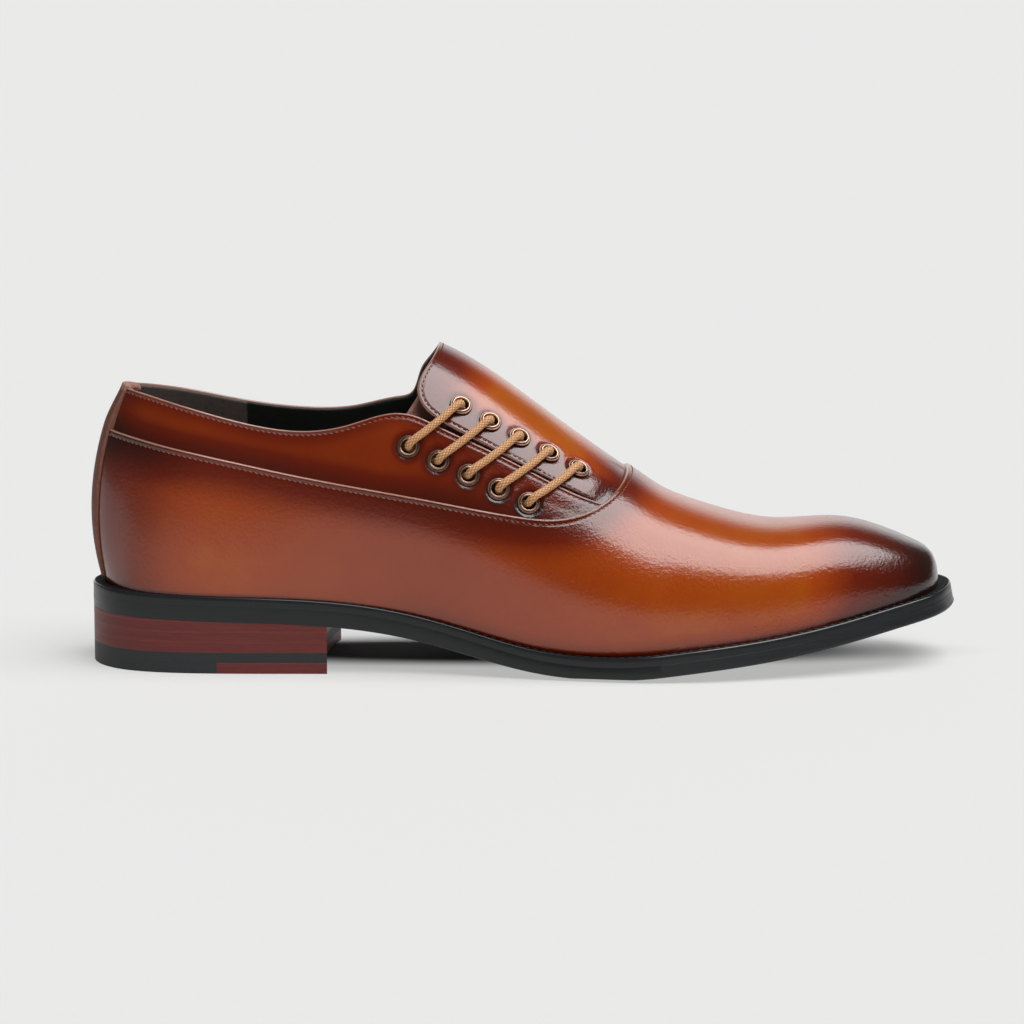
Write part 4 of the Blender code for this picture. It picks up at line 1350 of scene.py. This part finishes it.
class SHOE_OT_insole(Operator):
    """Builds the foot bed with its sock lining"""

    bl_idname = "shoe.insole"
    bl_label = "Insole"

    def execute(self, context):
        sections = even_sections(120)
        share = np.linspace(0, 1, 17)[None, :, None]
        sides = [lifted(sections, q, -WALL - 1.2 * GAP)[:, None, :2] for q in (0.0, 2.0)]
        flat = sides[0] * (1 - share) + sides[1] * share
        cup = 0.5 * MM * (2 * share[..., 0] - 1) ** 4
        top, bottom = (
            np.concatenate([flat, welt_top(flat[..., :1]) + height[..., None]], axis=-1)
            for height in (INSOLE_ABOVE_WELT + cup - 0.5 * MM, -WELT + 0 * cup)
        )
        body = shell(top, bottom, ring=True)
        make_piece("sock_lining", *body, material("lining_hide"), "lining_leather", ["insole"])
        return {"FINISHED"}


# A row of the welt's profile: its outset, its share of the toe's flare, its depth and its shade, painted
# shade that darkens and dulls it, or polish where negative
ProfileRow = namedtuple("ProfileRow", "outset flare depth shade")

# Share of the toe's flare at the joint of welt and outsole
JOINT_FLARE = 0.28


class SHOE_OT_welt(Operator):
    """Builds the welt with its bevelled upper edge"""

    bl_idname = "shoe.welt"
    bl_label = "Welt"

    def execute(self, context):
        bevel = context.scene.shoe_sole.bevel
        sections = even_sections(240)
        profile = (
            ProfileRow(-1.6 * MM, 0.0, 0.0, 1.0),
            ProfileRow(-bevel - 0.6 * MM, 0.0, 0.0, 1.0),
            ProfileRow(-bevel - 0.15 * MM, 0.0, 0.0, 0.0),
            ProfileRow(-bevel, 0.0, 0.05 * MM, -0.6),
            ProfileRow(-0.08 * MM, 0.0, bevel - 0.05 * MM, -0.6),
            ProfileRow(0.0, 0.0, bevel + 0.08 * MM, 0.0),
            ProfileRow(0.05 * MM, 0.15, 0.45 * WELT, 0.0),
            ProfileRow(0.05 * MM, 0.35, WELT - 0.06 * MM, 0.0),
            ProfileRow(0.05 * MM, JOINT_FLARE, WELT, 0.0),
        )
        halves = []
        for side in (-1, 1):
            inner = lifted(sections, 0.0 if side < 0 else 2.0, -WALL)[:, :2]
            loop = [(inner, WELT), (inner, 0.0)]
            for row in profile:
                outset = row.outset + row.flare * flare(sections)
                loop.append((outline(sections, side, outset), row.depth))
            rows = [np.concatenate([flat, welt_top(flat[:, :1]) - depth], axis=-1) for flat, depth in loop]
            halves.append(np.stack([*rows, rows[0]], axis=1))
        ring = np.concatenate([halves[0], halves[1][::-1]])
        n, m = ring.shape[:2]
        faces = grid_faces(np.arange(n * m).reshape(n, m))
        # Painted shade on the welt's inner rows and its upper face
        shade = [1.0, 1.0, *(row.shade for row in profile), 1.0]
        make_piece(
            "welt_strip", ring.reshape(-1, 3), faces, material("waxed_edge"), "sole_black", ["welt"],
            {"shade": shade}, sharp=35,
        )
        return {"FINISHED"}


def edge_bevel(x):
    """Rounding of the sole's lower edge, sharp over the heel."""
    return np.interp(x, (BREAST_X, 0), (HEEL_EDGE_BEVEL, SOLE_EDGE_BEVEL))


def tread_edge(x):
    """How far the side of the sole ends above its tread, which is rounded off ahead of the arch."""
    return np.interp(x, (-TREAD_BLEND, TREAD_BLEND), (0, TREAD_EDGE))


class SHOE_OT_outsole(Operator):
    """Builds the outsole with its rounded edge"""

    bl_idname = "shoe.outsole"
    bl_label = "Outsole"

    def execute(self, context):
        sections = even_sections(220)
        out = flare(sections)
        under = WELT + GAP
        levels = [
            (JOINT_FLARE * out + 0.05 * MM, lambda x: welt_top(x) - under + 0.28 * MM),
            (0.38 * out + 0.05 * MM, lambda x: welt_top(x) - under + 0.22 * MM),
            (0.7 * out + 0.08 * MM, lambda x: (welt_top(x) - under + sole_bottom(x)) / 2),
        ]
        bevel = edge_bevel(outline(sections, -1)[:, 0])
        for turn in np.linspace(0, math.pi / 2, 6):
            side, drop = 1 - math.cos(turn), 1 - math.sin(turn)
            levels.append((
                out - bevel * side,
                lambda x, drop=drop: sole_bottom(x) + tread_edge(x) + edge_bevel(x) * drop,
            ))
        levels.append((out - TREAD_INSET, sole_bottom))
        body = plate(sections, levels, 8)
        make_piece("long_sole", *body, material("waxed_edge"), "sole_black", ["outsole"], sharp=30)
        return {"FINISHED"}


class SHOE_OT_heel(Operator):
    """Builds the stacked heel: lifts, black lift and the two halves of the top piece"""

    bl_idname = "shoe.heel"
    bl_label = "Heel"

    def execute(self, context):
        breast = section_at(BREAST_X)
        sections = even_sections(90, 0.0, breast)
        tops = [BLACK_LIFT_TOP + HEEL_LIFT * i for i in range(3)]
        split = section_at(RUBBER_END_X)
        front = section_at(RUBBER_END_X + 0.1 * GAP)

        touch = 0.02 * MM

        def level(z):
            return lambda x: np.full_like(x, z)

        def under_sole(x):
            return sole_bottom(x) - touch

        stack, black = ("heel_leather", "heel_stack"), ("sole_black", "moulded_rubber")
        rubber = ("heel_rubber", "moulded_rubber")
        rear, fore = even_sections(60, 0.0, split), even_sections(30, front, breast)
        layers = (
            ("lift_upper", "heel_lift_1", sections, under_sole, tops[2] + touch, stack),
            ("lift_middle", "heel_lift_2", sections, level(tops[2]), tops[1] + touch, stack),
            ("lift_lower", "heel_lift_3", sections, level(tops[1]), tops[0] + touch, stack),
            ("lift_black", "heel_black_lift", sections, level(tops[0]), TOP_PIECE + touch, black),
            ("tip_rubber", "top_piece_rubber", rear, level(TOP_PIECE), 0.0, rubber),
            ("tip_leather", "top_piece_leather", fore, level(TOP_PIECE), 0.0, stack),
        )
        for name, node, rows, top, low, (slot, finish) in layers:
            levels = ((0.0, top), (0.0, level(low)))
            make_piece(name, *plate(rows, levels, 10), material(finish), slot, [node])
        return {"FINISHED"}


def points_piece(name, points, normals, edges):
    """Mesh of points or lines with the outward direction of each point, for a node tree to work on."""
    mesh = bpy.data.meshes.new(name)
    mesh.from_pydata((np.asarray(points) + CENTRE_SHIFT).tolist(), edges, [])
    mesh.attributes.new("out", "FLOAT_VECTOR", "POINT").data.foreach_set("vector", np.ravel(normals))
    piece = bpy.data.objects.new(name, mesh)
    bpy.context.scene.collection.objects.link(piece)
    return piece


def run_tree(piece, tree, values):
    """Runs a node tree on a piece with its inputs set by name, and keeps the result as a plain mesh."""
    modifier = piece.modifiers.new(tree.name, "NODES")
    modifier.node_group = tree
    for item in tree.interface.items_tree:
        if item.in_out == "INPUT" and item.name in values:
            modifier[item.identifier] = values[item.name]
    freeze(piece)


def facing_out(tree, along=None):
    """Rotation whose Z axis is the out attribute and, where along is given, whose X axis follows it."""
    out = add(tree, "GeometryNodeInputNamedAttribute", {"Name": "out"}, data_type="FLOAT_VECTOR").outputs[0]
    turn = add(tree, "FunctionNodeAlignRotationToVector", {"Vector": out}, axis="Z").outputs[0]
    if along is None:
        return turn
    inputs = {"Rotation": turn, "Vector": along}
    return add(tree, "FunctionNodeAlignRotationToVector", inputs, axis="X", pivot_axis="Z").outputs[0]


def finish_tree(tree, start, end, shape, points, turn):
    """Shapes on points, made real, smooth and given the Material input."""
    many = add(tree, "GeometryNodeInstanceOnPoints", {"Points": points, "Instance": shape, "Rotation": turn})
    real = add(tree, "GeometryNodeRealizeInstances", {0: many.outputs[0]}).outputs[0]
    smooth = add(tree, "GeometryNodeSetShadeSmooth", {"Geometry": real}).outputs[0]
    inputs = {"Geometry": smooth, "Material": start.outputs["Material"]}
    tree.links.new(add(tree, "GeometryNodeSetMaterial", inputs).outputs[0], end.inputs[0])


def stitch_tree():
    """Stitches laid along lines at an even pitch."""
    tree, start, end = node_group(
        "stitch_row",
        "GeometryNodeTree",
        [
            ("Geometry", "NodeSocketGeometry", None),
            ("Pitch", NUMBER, 2.3 * MM),
            ("Stitch", NUMBER, 1.7 * MM),
            ("Thread", NUMBER, 0.45 * MM),
            ("Slant", NUMBER, 0.0),
            ("Material", "NodeSocketMaterial", None),
        ],
        [("Geometry", "NodeSocketGeometry", None)],
    )
    line = add(tree, "GeometryNodeMeshToCurve", {0: start.outputs["Geometry"]}).outputs[0]
    inputs = {"Curve": line, "Length": start.outputs["Pitch"]}
    even = add(tree, "GeometryNodeResampleCurve", inputs, mode="LENGTH")
    way = add(tree, "GeometryNodeInputTangent").outputs[0]
    ball = add(tree, "GeometryNodeMeshUVSphere", {"Segments": 8, "Rings": 6, "Radius": 0.5}).outputs[0]
    sizes = {0: start.outputs["Stitch"], 1: start.outputs["Thread"], 2: start.outputs["Thread"]}
    size = add(tree, "ShaderNodeCombineXYZ", sizes).outputs[0]
    slant = add(tree, "ShaderNodeCombineXYZ", {2: start.outputs["Slant"]}).outputs[0]
    inputs = {"Geometry": ball, "Scale": size, "Rotation": slant}
    stitch = add(tree, "GeometryNodeTransform", inputs).outputs[0]
    finish_tree(tree, start, end, stitch, even.outputs[0], facing_out(tree, way))
    return tree


class SHOE_OT_stitches(Operator):
    """Sews the seam, the collar, the flap and the welt"""

    bl_idname = "shoe.stitches"
    bl_label = "Stitches"

    def execute(self, context):
        settings = context.scene.shoe_stitch
        tree = stitch_tree()
        sunk = -0.1 * MM
        quarter, flap, lower = quarter_lines(), flap_lines(), lower_lines()
        rows = (
            ("seam_stitches", lower, SEAM_ROW, OVERLAY + sunk, flat_form, "upper_thread", settings.slant),
            ("quarter_stitches", quarter, EDGE_ROW, sunk, quarter_form, "upper_thread", settings.slant),
            ("flap_stitches", flap, EDGE_ROW, sunk, flap_form, "flap_thread", 0.0),
        )
        for name, lines, distance, lift, form_of, thread, slant in rows:
            away = np.full(len(lines.run), distance)
            s, q = inset(lines, away)
            form = form_of(skin(s, q), away, to_seam(lines, away[:, None])[:, 0])
            points, normals = lifted(s, q, lift + form), skin_normal(s, q)
            self.sew(name, points, normals, tree, settings, thread, "upper_leather", settings.pitch, slant)
        self.sew_welt(tree, settings)
        return {"FINISHED"}

    def sew(self, name, points, normals, tree, settings, thread, slot, pitch, slant=0.0):
        piece = points_piece(name, points, normals, [(i, i + 1) for i in range(len(points) - 1)])
        values = {
            "Pitch": pitch,
            "Stitch": settings.stitch * pitch / settings.pitch,
            "Thread": settings.thread,
            "Slant": slant,
            "Material": material(thread),
        }
        run_tree(piece, tree, values)
        finish_piece(piece)

    def sew_welt(self, tree, settings):
        """One row on the welt's upper face, from the waist round the toe."""
        sections = even_sections(300, section_at(-60 * MM), TIP)
        halves = [outline(sections, side, -1.5 * MM) for side in (-1, 1)]
        flat = np.concatenate([halves[0], halves[1][-2::-1]])
        points = np.concatenate([flat, welt_top(flat[:, :1]) + 0.02 * MM], axis=-1)
        normals = np.tile((0.0, 0.0, 1.0), (len(points), 1))
        pitch = settings.welt_pitch
        self.sew("welt_stitches", points, normals, tree, settings, "welt_thread", "sole_black", pitch)


# A ring of an eyelet: its radius and half width as shares of the flange's width, its half height and
# place over the leather, and how bright its rim is rubbed
EyeletRing = namedtuple("EyeletRing", "share half tall height rim")


def circle_curve(tree, resolution, radius):
    inputs = {"Resolution": resolution, "Radius": radius}
    return add(tree, "GeometryNodeCurvePrimitiveCircle", inputs).outputs[0]


def eyelet_tree():
    """Eyelets set on points: a flat flange, a rolled rim in it and a barrel."""
    tree, start, end = node_group(
        "eyelet_row",
        "GeometryNodeTree",
        [
            ("Geometry", "NodeSocketGeometry", None),
            ("Bore", NUMBER, BORE),
            ("Flange", NUMBER, FLANGE),
            ("Material", "NodeSocketMaterial", None),
        ],
        [("Geometry", "NodeSocketGeometry", None)],
    )
    bore, outside = start.outputs["Bore"], start.outputs["Flange"]
    width = math_node(tree, "SUBTRACT", outside, bore)
    round_profile = circle_curve(tree, 16, 1.0)
    join = add(tree, "GeometryNodeJoinGeometry")
    rings = (
        EyeletRing(0.74, 0.26, 0.2 * MM, 0.08 * MM, 0.1),
        EyeletRing(0.27, 0.27, 0.5 * MM, 0.32 * MM, 0.85),
        EyeletRing(0.1, 0.1, 1.1 * MM, -0.6 * MM, 0.2),
    )
    for share, half, tall, height, rim in rings:
        radius = multiply_add(tree, width, share, bore)
        across = math_node(tree, "MULTIPLY", width, half)
        size = add(tree, "ShaderNodeCombineXYZ", {0: across, 1: tall, 2: 1.0}).outputs[0]
        profile = add(tree, "GeometryNodeTransform", {"Geometry": round_profile, "Scale": size}).outputs[0]
        inputs = {"Curve": circle_curve(tree, 48, radius), "Profile Curve": profile}
        ring = add(tree, "GeometryNodeCurveToMesh", inputs).outputs[0]
        inputs = {"Geometry": ring, "Translation": (0, 0, height)}
        placed = add(tree, "GeometryNodeTransform", inputs).outputs[0]
        inputs = {"Geometry": placed, "Name": "rim", "Value": rim}
        named = add(tree, "GeometryNodeStoreNamedAttribute", inputs, data_type="FLOAT", domain="POINT")
        tree.links.new(named.outputs[0], join.inputs[0])
    points = add(tree, "GeometryNodeMeshToPoints", {"Mesh": start.outputs["Geometry"]}).outputs[0]
    finish_tree(tree, start, end, join.outputs[0], points, facing_out(tree))
    return tree


class SHOE_OT_eyelets(Operator):
    """Sets the ten eyelets"""

    bl_idname = "shoe.eyelets"
    bl_label = "Eyelets"

    def execute(self, context):
        places = eyelet_places()
        spots = places["upper"] + places["lower"]
        piece = points_piece("eyelet_rings", [spot[0] for spot in spots], [spot[1] for spot in spots], [])
        values = {"Bore": BORE, "Flange": FLANGE, "Material": material("antique_copper")}
        run_tree(piece, eyelet_tree(), values)
        nodes = [f"eyelet_{row}_{number}" for row in ("upper", "lower") for number in range(1, EYELETS + 1)]
        finish_piece(piece, nodes)
        return {"FINISHED"}


def lace_route(places):
    """Points of the lace: straight bars over the slit, joined by hidden runs along each side."""
    inside, over, bar_lift = -WALL - GAP - LACE, 2.65 * MM, 2.4 * MM

    def through(place, bar_way, run_way):
        """From under the wall, up through an eyelet and over onto its bar."""
        centre, normal = place
        steps = (
            (inside, run_way, 2.6), (inside + MM, run_way, 0.7), (-0.4 * MM, bar_way, 0.0),
            (MM, bar_way, 0.2), (2.2 * MM, bar_way, 0.9), (over, bar_way, 2.7),
        )
        return [centre + normal * lift + way * distance * MM for lift, way, distance in steps]

    def flat_way(place, target):
        """Unit direction along the skin from an eyelet to another point."""
        centre, normal = place
        way = target - centre
        way = way - normal * way.dot(normal)
        return way / np.linalg.norm(way)

    def on_skin(first, last, shares, lift, drop=0.0):
        """Points between two eyelets that follow the skin, drop being a shift down its side."""
        spots = np.array([first + (last - first) * share for share in shares])
        s, q = lateral_place(spots[:, 0], spots[:, 2] - drop)
        return list(lifted(s, q, lift))

    def eyelet(row, number):
        return places[row][number - 1]

    def bar(number, start, run_from, run_to):
        """One bar from the start row to the other. The runs give the rows' hidden directions."""
        end = "lower" if start == "upper" else "upper"
        a, b = eyelet(start, number), eyelet(end, number)
        up = through(a, flat_way(a, b[0]), flat_way(a, run_from))
        down = through(b, flat_way(b, a[0]), flat_way(b, run_to))
        return up + on_skin(a[0], b[0], (0.32, 0.5, 0.68), bar_lift) + down[::-1]

    def centre(row, number):
        return eyelet(row, number)[0]

    side_step = {"upper": -4.2 * MM, "lower": 4.2 * MM}

    def run(row, first, last):
        """Hidden stretch along one row, past the eyelet between them where there is one."""
        shares = (0.35, 0.5, 0.65) if abs(first - last) > 1 else (0.5,)
        drop = side_step[row] if abs(first - last) > 1 else 0.0
        return on_skin(centre(row, first), centre(row, last), shares, inside, drop)

    tail = on_skin(centre("lower", 2), centre("lower", 1), (0.45,), inside)
    tip = on_skin(centre("upper", 1), centre("upper", 2), (0.45,), inside)
    return [
        *tail,
        *bar(2, "lower", tail[0], centre("upper", 4)),
        *run("upper", 2, 4),
        *bar(4, "upper", centre("upper", 2), centre("lower", 5)),
        *run("lower", 4, 5),
        *bar(5, "lower", centre("lower", 4), centre("upper", 3)),
        *run("upper", 5, 3),
        *bar(3, "upper", centre("upper", 5), centre("lower", 1)),
        *run("lower", 3, 1),
        *bar(1, "lower", centre("lower", 3), tip[0]),
        *tip,
    ]


def smooth_path(route, spacing, softness):
    """Route read at an even spacing, its corners rounded over softness."""
    route = np.array(route)
    run = run_along(route)
    at = np.linspace(0, run[-1], round(run[-1] / spacing) + 1)
    path = np.stack([np.interp(at, run, route[:, k]) for k in range(3)], axis=-1)
    reach = round(3 * softness / spacing)
    weights = np.exp(-0.5 * (np.arange(-reach, reach + 1) * spacing / softness) ** 2)
    padded = np.concatenate([np.repeat(path[:1], reach, axis=0), path, np.repeat(path[-1:], reach, axis=0)])
    soft = [np.convolve(padded[:, k], weights / weights.sum(), "valid") for k in range(3)]
    return np.stack(soft, axis=-1)


class SHOE_OT_lace(Operator):
    """Threads the braided lace through the eyelets"""

    bl_idname = "shoe.lace"
    bl_label = "Lace"

    def execute(self, context):
        settings = context.scene.shoe_lace
        path = smooth_path(lace_route(eyelet_places()), 0.15 * MM, 0.75 * MM)
        sides = 40
        tangent = np.gradient(path, axis=0)
        tangent /= np.linalg.norm(tangent, axis=1, keepdims=True)
        across = [np.cross(tangent[0], (0.0, 0.0, 1.0))]
        for way in tangent[1:]:
            turned = across[-1] - way * across[-1].dot(way)
            across.append(turned / np.linalg.norm(turned))
        across = np.array(across) / np.linalg.norm(across, axis=1, keepdims=True)
        up = np.cross(tangent, across)
        run = run_along(path)[:, None]
        around = np.linspace(0, 1, sides + 1)[None, :-1]
        first, second = (around * settings.strands + way * run / settings.plait for way in (1, -1))
        crown = [1 - (2 * (value % 1) - 1) ** 2 for value in (first, second)]
        weave = crown[0] * crown[1]
        radius = LACE - settings.weave + settings.weave * weave
        turn = 2 * math.pi * around
        points = path[:, None] + radius[..., None] * (
            np.cos(turn)[..., None] * across[:, None] + np.sin(turn)[..., None] * up[:, None]
        )
        index = np.arange(len(path) * sides).reshape(-1, sides)
        after = np.roll(index, -1, axis=1)
        faces = strips(index[:-1], after[:-1], after[1:], index[1:])
        faces = [*faces.tolist(), index[0].tolist(), index[-1].tolist()]
        make_piece(
            "braided_lace", points.reshape(-1, 3), faces, material("woven_cord"), "lace_cord", ["lace"],
            {"weave": weave}, sharp=80,
        )
        return {"FINISHED"}


# A bright window of the studio: its edges and their blur, as shares of the distance to its wall
Window = namedtuple("Window", "low high blur")
SOFTBOX_X = Window(0.0, 0.82, 0.1)
SOFTBOX_Y = Window(-0.77, 0.33, 0.04)
WALL_X = Window(-0.5, 0.45, 0.2)
WALL_Z = Window(-1.0, 0.5, 0.3)
WALL_FOOT_X = Window(-1.2, 1.2, 0.3)
WALL_FOOT_Z = Window(-1.0, 0.1, 0.08)
SWEEP_Z = Window(-1.0, 0.07, 0.02)

# The floor's painted shadow under the shoe, where its painted light is held back: an oval's half length and
# half width in metres, its shift across in half widths and the shares of its radius between which it fades
SHADE_HALF_LENGTH = 0.15
SHADE_HALF_WIDTH = 0.03
SHADE_SHIFT = -0.4
SHADE_FADE = (0.55, 1.15)

# Half width of the floor in metres, and the place on the shoe that the camera aims at
FLOOR_HALF = 200.0
AIM = np.array((-3.9, 0.0, 51.4)) * MM


def soft_window(tree, value, window):
    """1 where value lies inside a window, with soft edges."""
    low, high, blur = window
    rise = map_range(tree, value, low - blur, low + blur, way="SMOOTHSTEP")
    fall = map_range(tree, value, high + blur, high - blur, way="SMOOTHSTEP")
    return math_node(tree, "MULTIPLY", rise, fall)


def make_world(settings):
    """Dark studio with a softbox overhead, a pale backdrop behind the shoe and a sweep before it."""
    world = bpy.data.worlds.new("studio")
    world.use_nodes = True
    tree = world.node_tree
    way = add(tree, "ShaderNodeTexCoord").outputs["Generated"]
    x, y, z = axes(tree, way)
    up = math_node(tree, "MAXIMUM", z, 0.001)
    box_x = soft_window(tree, math_node(tree, "DIVIDE", x, up), SOFTBOX_X)
    box_y = soft_window(tree, math_node(tree, "DIVIDE", y, up), SOFTBOX_Y)
    softbox = math_node(tree, "MULTIPLY", box_x, box_y)
    back = math_node(tree, "MAXIMUM", y, 0.001)
    aside, above = math_node(tree, "DIVIDE", x, back), math_node(tree, "DIVIDE", z, back)
    wall, foot = (
        math_node(tree, "MULTIPLY", soft_window(tree, aside, wide), soft_window(tree, above, tall))
        for wide, tall in ((WALL_X, WALL_Z), (WALL_FOOT_X, WALL_FOOT_Z))
    )
    backdrop = math_node(tree, "MAXIMUM", wall, foot)
    near = math_node(tree, "MAXIMUM", math_node(tree, "MULTIPLY", y, -1.0), 0.001)
    front = math_node(tree, "DIVIDE", z, near)
    sweep = soft_window(tree, front, SWEEP_Z)
    light = multiply_add(tree, softbox, settings.softbox, settings.room)
    light = multiply_add(tree, backdrop, settings.backdrop, light)
    light = multiply_add(tree, sweep, settings.sweep, light)
    sky = tree.nodes["Background"]
    tree.links.new(light, sky.inputs["Strength"])
    sky.inputs["Color"].default_value = (1, 1, 1, 1)
    return world


class SHOE_OT_stage(Operator):
    """Sets the floor, the studio's light and the camera"""

    bl_idname = "shoe.stage"
    bl_label = "Stage"

    def execute(self, context):
        scene = context.scene
        settings = scene.shoe_stage
        scene.view_settings.view_transform = "Standard"
        # Floor of even albedo whose emission is painted light that lifts its shadows
        tree, shader = new_material(
            "studio_floor", Base_Color=opaque(settings.floor), Roughness=0.9, Specular_IOR_Level=0.0,
            Emission_Strength=1.0,
        )
        # Painted shadow: the floor's painted light fades out inside an oval under the shoe
        inputs = {
            "Vector": object_place(tree),
            "Location": (0, SHADE_SHIFT, 0),
            "Scale": (1 / SHADE_HALF_LENGTH, 1 / SHADE_HALF_WIDTH, 0),
        }
        flat = add(tree, "ShaderNodeMapping", inputs).outputs[0]
        away = add(tree, "ShaderNodeVectorMath", {0: flat}, operation="LENGTH").outputs["Value"]
        outside_painted_shadow = map_range(tree, away, *SHADE_FADE, way="SMOOTHSTEP")
        painted_floor_light = mix_colour(tree, outside_painted_shadow, (0, 0, 0, 1), opaque(settings.painted_floor_light))
        tree.links.new(painted_floor_light, shader.inputs["Emission Color"])
        corners = [(i * FLOOR_HALF, j * FLOOR_HALF, 0) for i, j in ((-1, -1), (1, -1), (1, 1), (-1, 1))]
        mesh = bpy.data.meshes.new("studio_floor")
        mesh.from_pydata(corners, [], [(0, 1, 2, 3)])
        mesh.materials.append(material("studio_floor"))
        floor = bpy.data.objects.new("studio_floor", mesh)
        scene.collection.objects.link(floor)
        scene.world = make_world(settings)

        aim = Vector(AIM + CENTRE_SHIFT)
        lens = bpy.data.cameras.new("camera")
        lens.sensor_width = 36.0
        lens.lens = settings.lens
        lens.clip_end = 1000.0
        camera = bpy.data.objects.new("camera", lens)
        tilt = settings.elevation
        camera.location = aim + Vector((0, -math.cos(tilt), math.sin(tilt))) * settings.distance
        camera.rotation_euler = (math.pi / 2 - tilt, 0, 0)
        scene.collection.objects.link(camera)
        scene.camera = camera
        return {"FINISHED"}


OPERATORS = (
    SHOE_OT_stage,
    SHOE_OT_materials,
    SHOE_OT_lower_panel,
    SHOE_OT_facings,
    SHOE_OT_lining,
    SHOE_OT_backstay,
    SHOE_OT_tongue,
    SHOE_OT_insole,
    SHOE_OT_welt,
    SHOE_OT_outsole,
    SHOE_OT_heel,
    SHOE_OT_eyelets,
    SHOE_OT_lace,
    SHOE_OT_stitches,
)
SETTINGS = {
    "shoe_upper": UpperSettings,
    "shoe_stitch": StitchSettings,
    "shoe_sole": SoleSettings,
    "shoe_lace": LaceSettings,
    "shoe_stage": StageSettings,
}


class SHOE_PT_sidebar(Panel):
    """Lists the shoe's settings and the steps that build it"""

    bl_idname = "SHOE_PT_sidebar"
    bl_label = "Side-laced dress shoe"
    bl_space_type = "VIEW_3D"
    bl_region_type = "UI"
    bl_category = "Shoe"

    def draw(self, context):
        for name in SETTINGS:
            box = self.layout.box()
            box.label(text=SETTINGS[name].__doc__)
            for key in SETTINGS[name].__annotations__:
                box.prop(getattr(context.scene, name), key)
        for operator in OPERATORS:
            self.layout.operator(operator.bl_idname)


CLASSES = (*SETTINGS.values(), *OPERATORS, SHOE_PT_sidebar)


def register():
    for item in CLASSES:
        bpy.utils.register_class(item)
    for name, group in SETTINGS.items():
        setattr(bpy.types.Scene, name, PointerProperty(type=group))


def unregister():
    for name in SETTINGS:
        delattr(bpy.types.Scene, name)
    for item in reversed(CLASSES):
        bpy.utils.unregister_class(item)


def main():
    register()
    for operator in OPERATORS:
        group, name = operator.bl_idname.split(".")
        getattr(getattr(bpy.ops, group), name)()


if __name__ == "__main__":
    main()
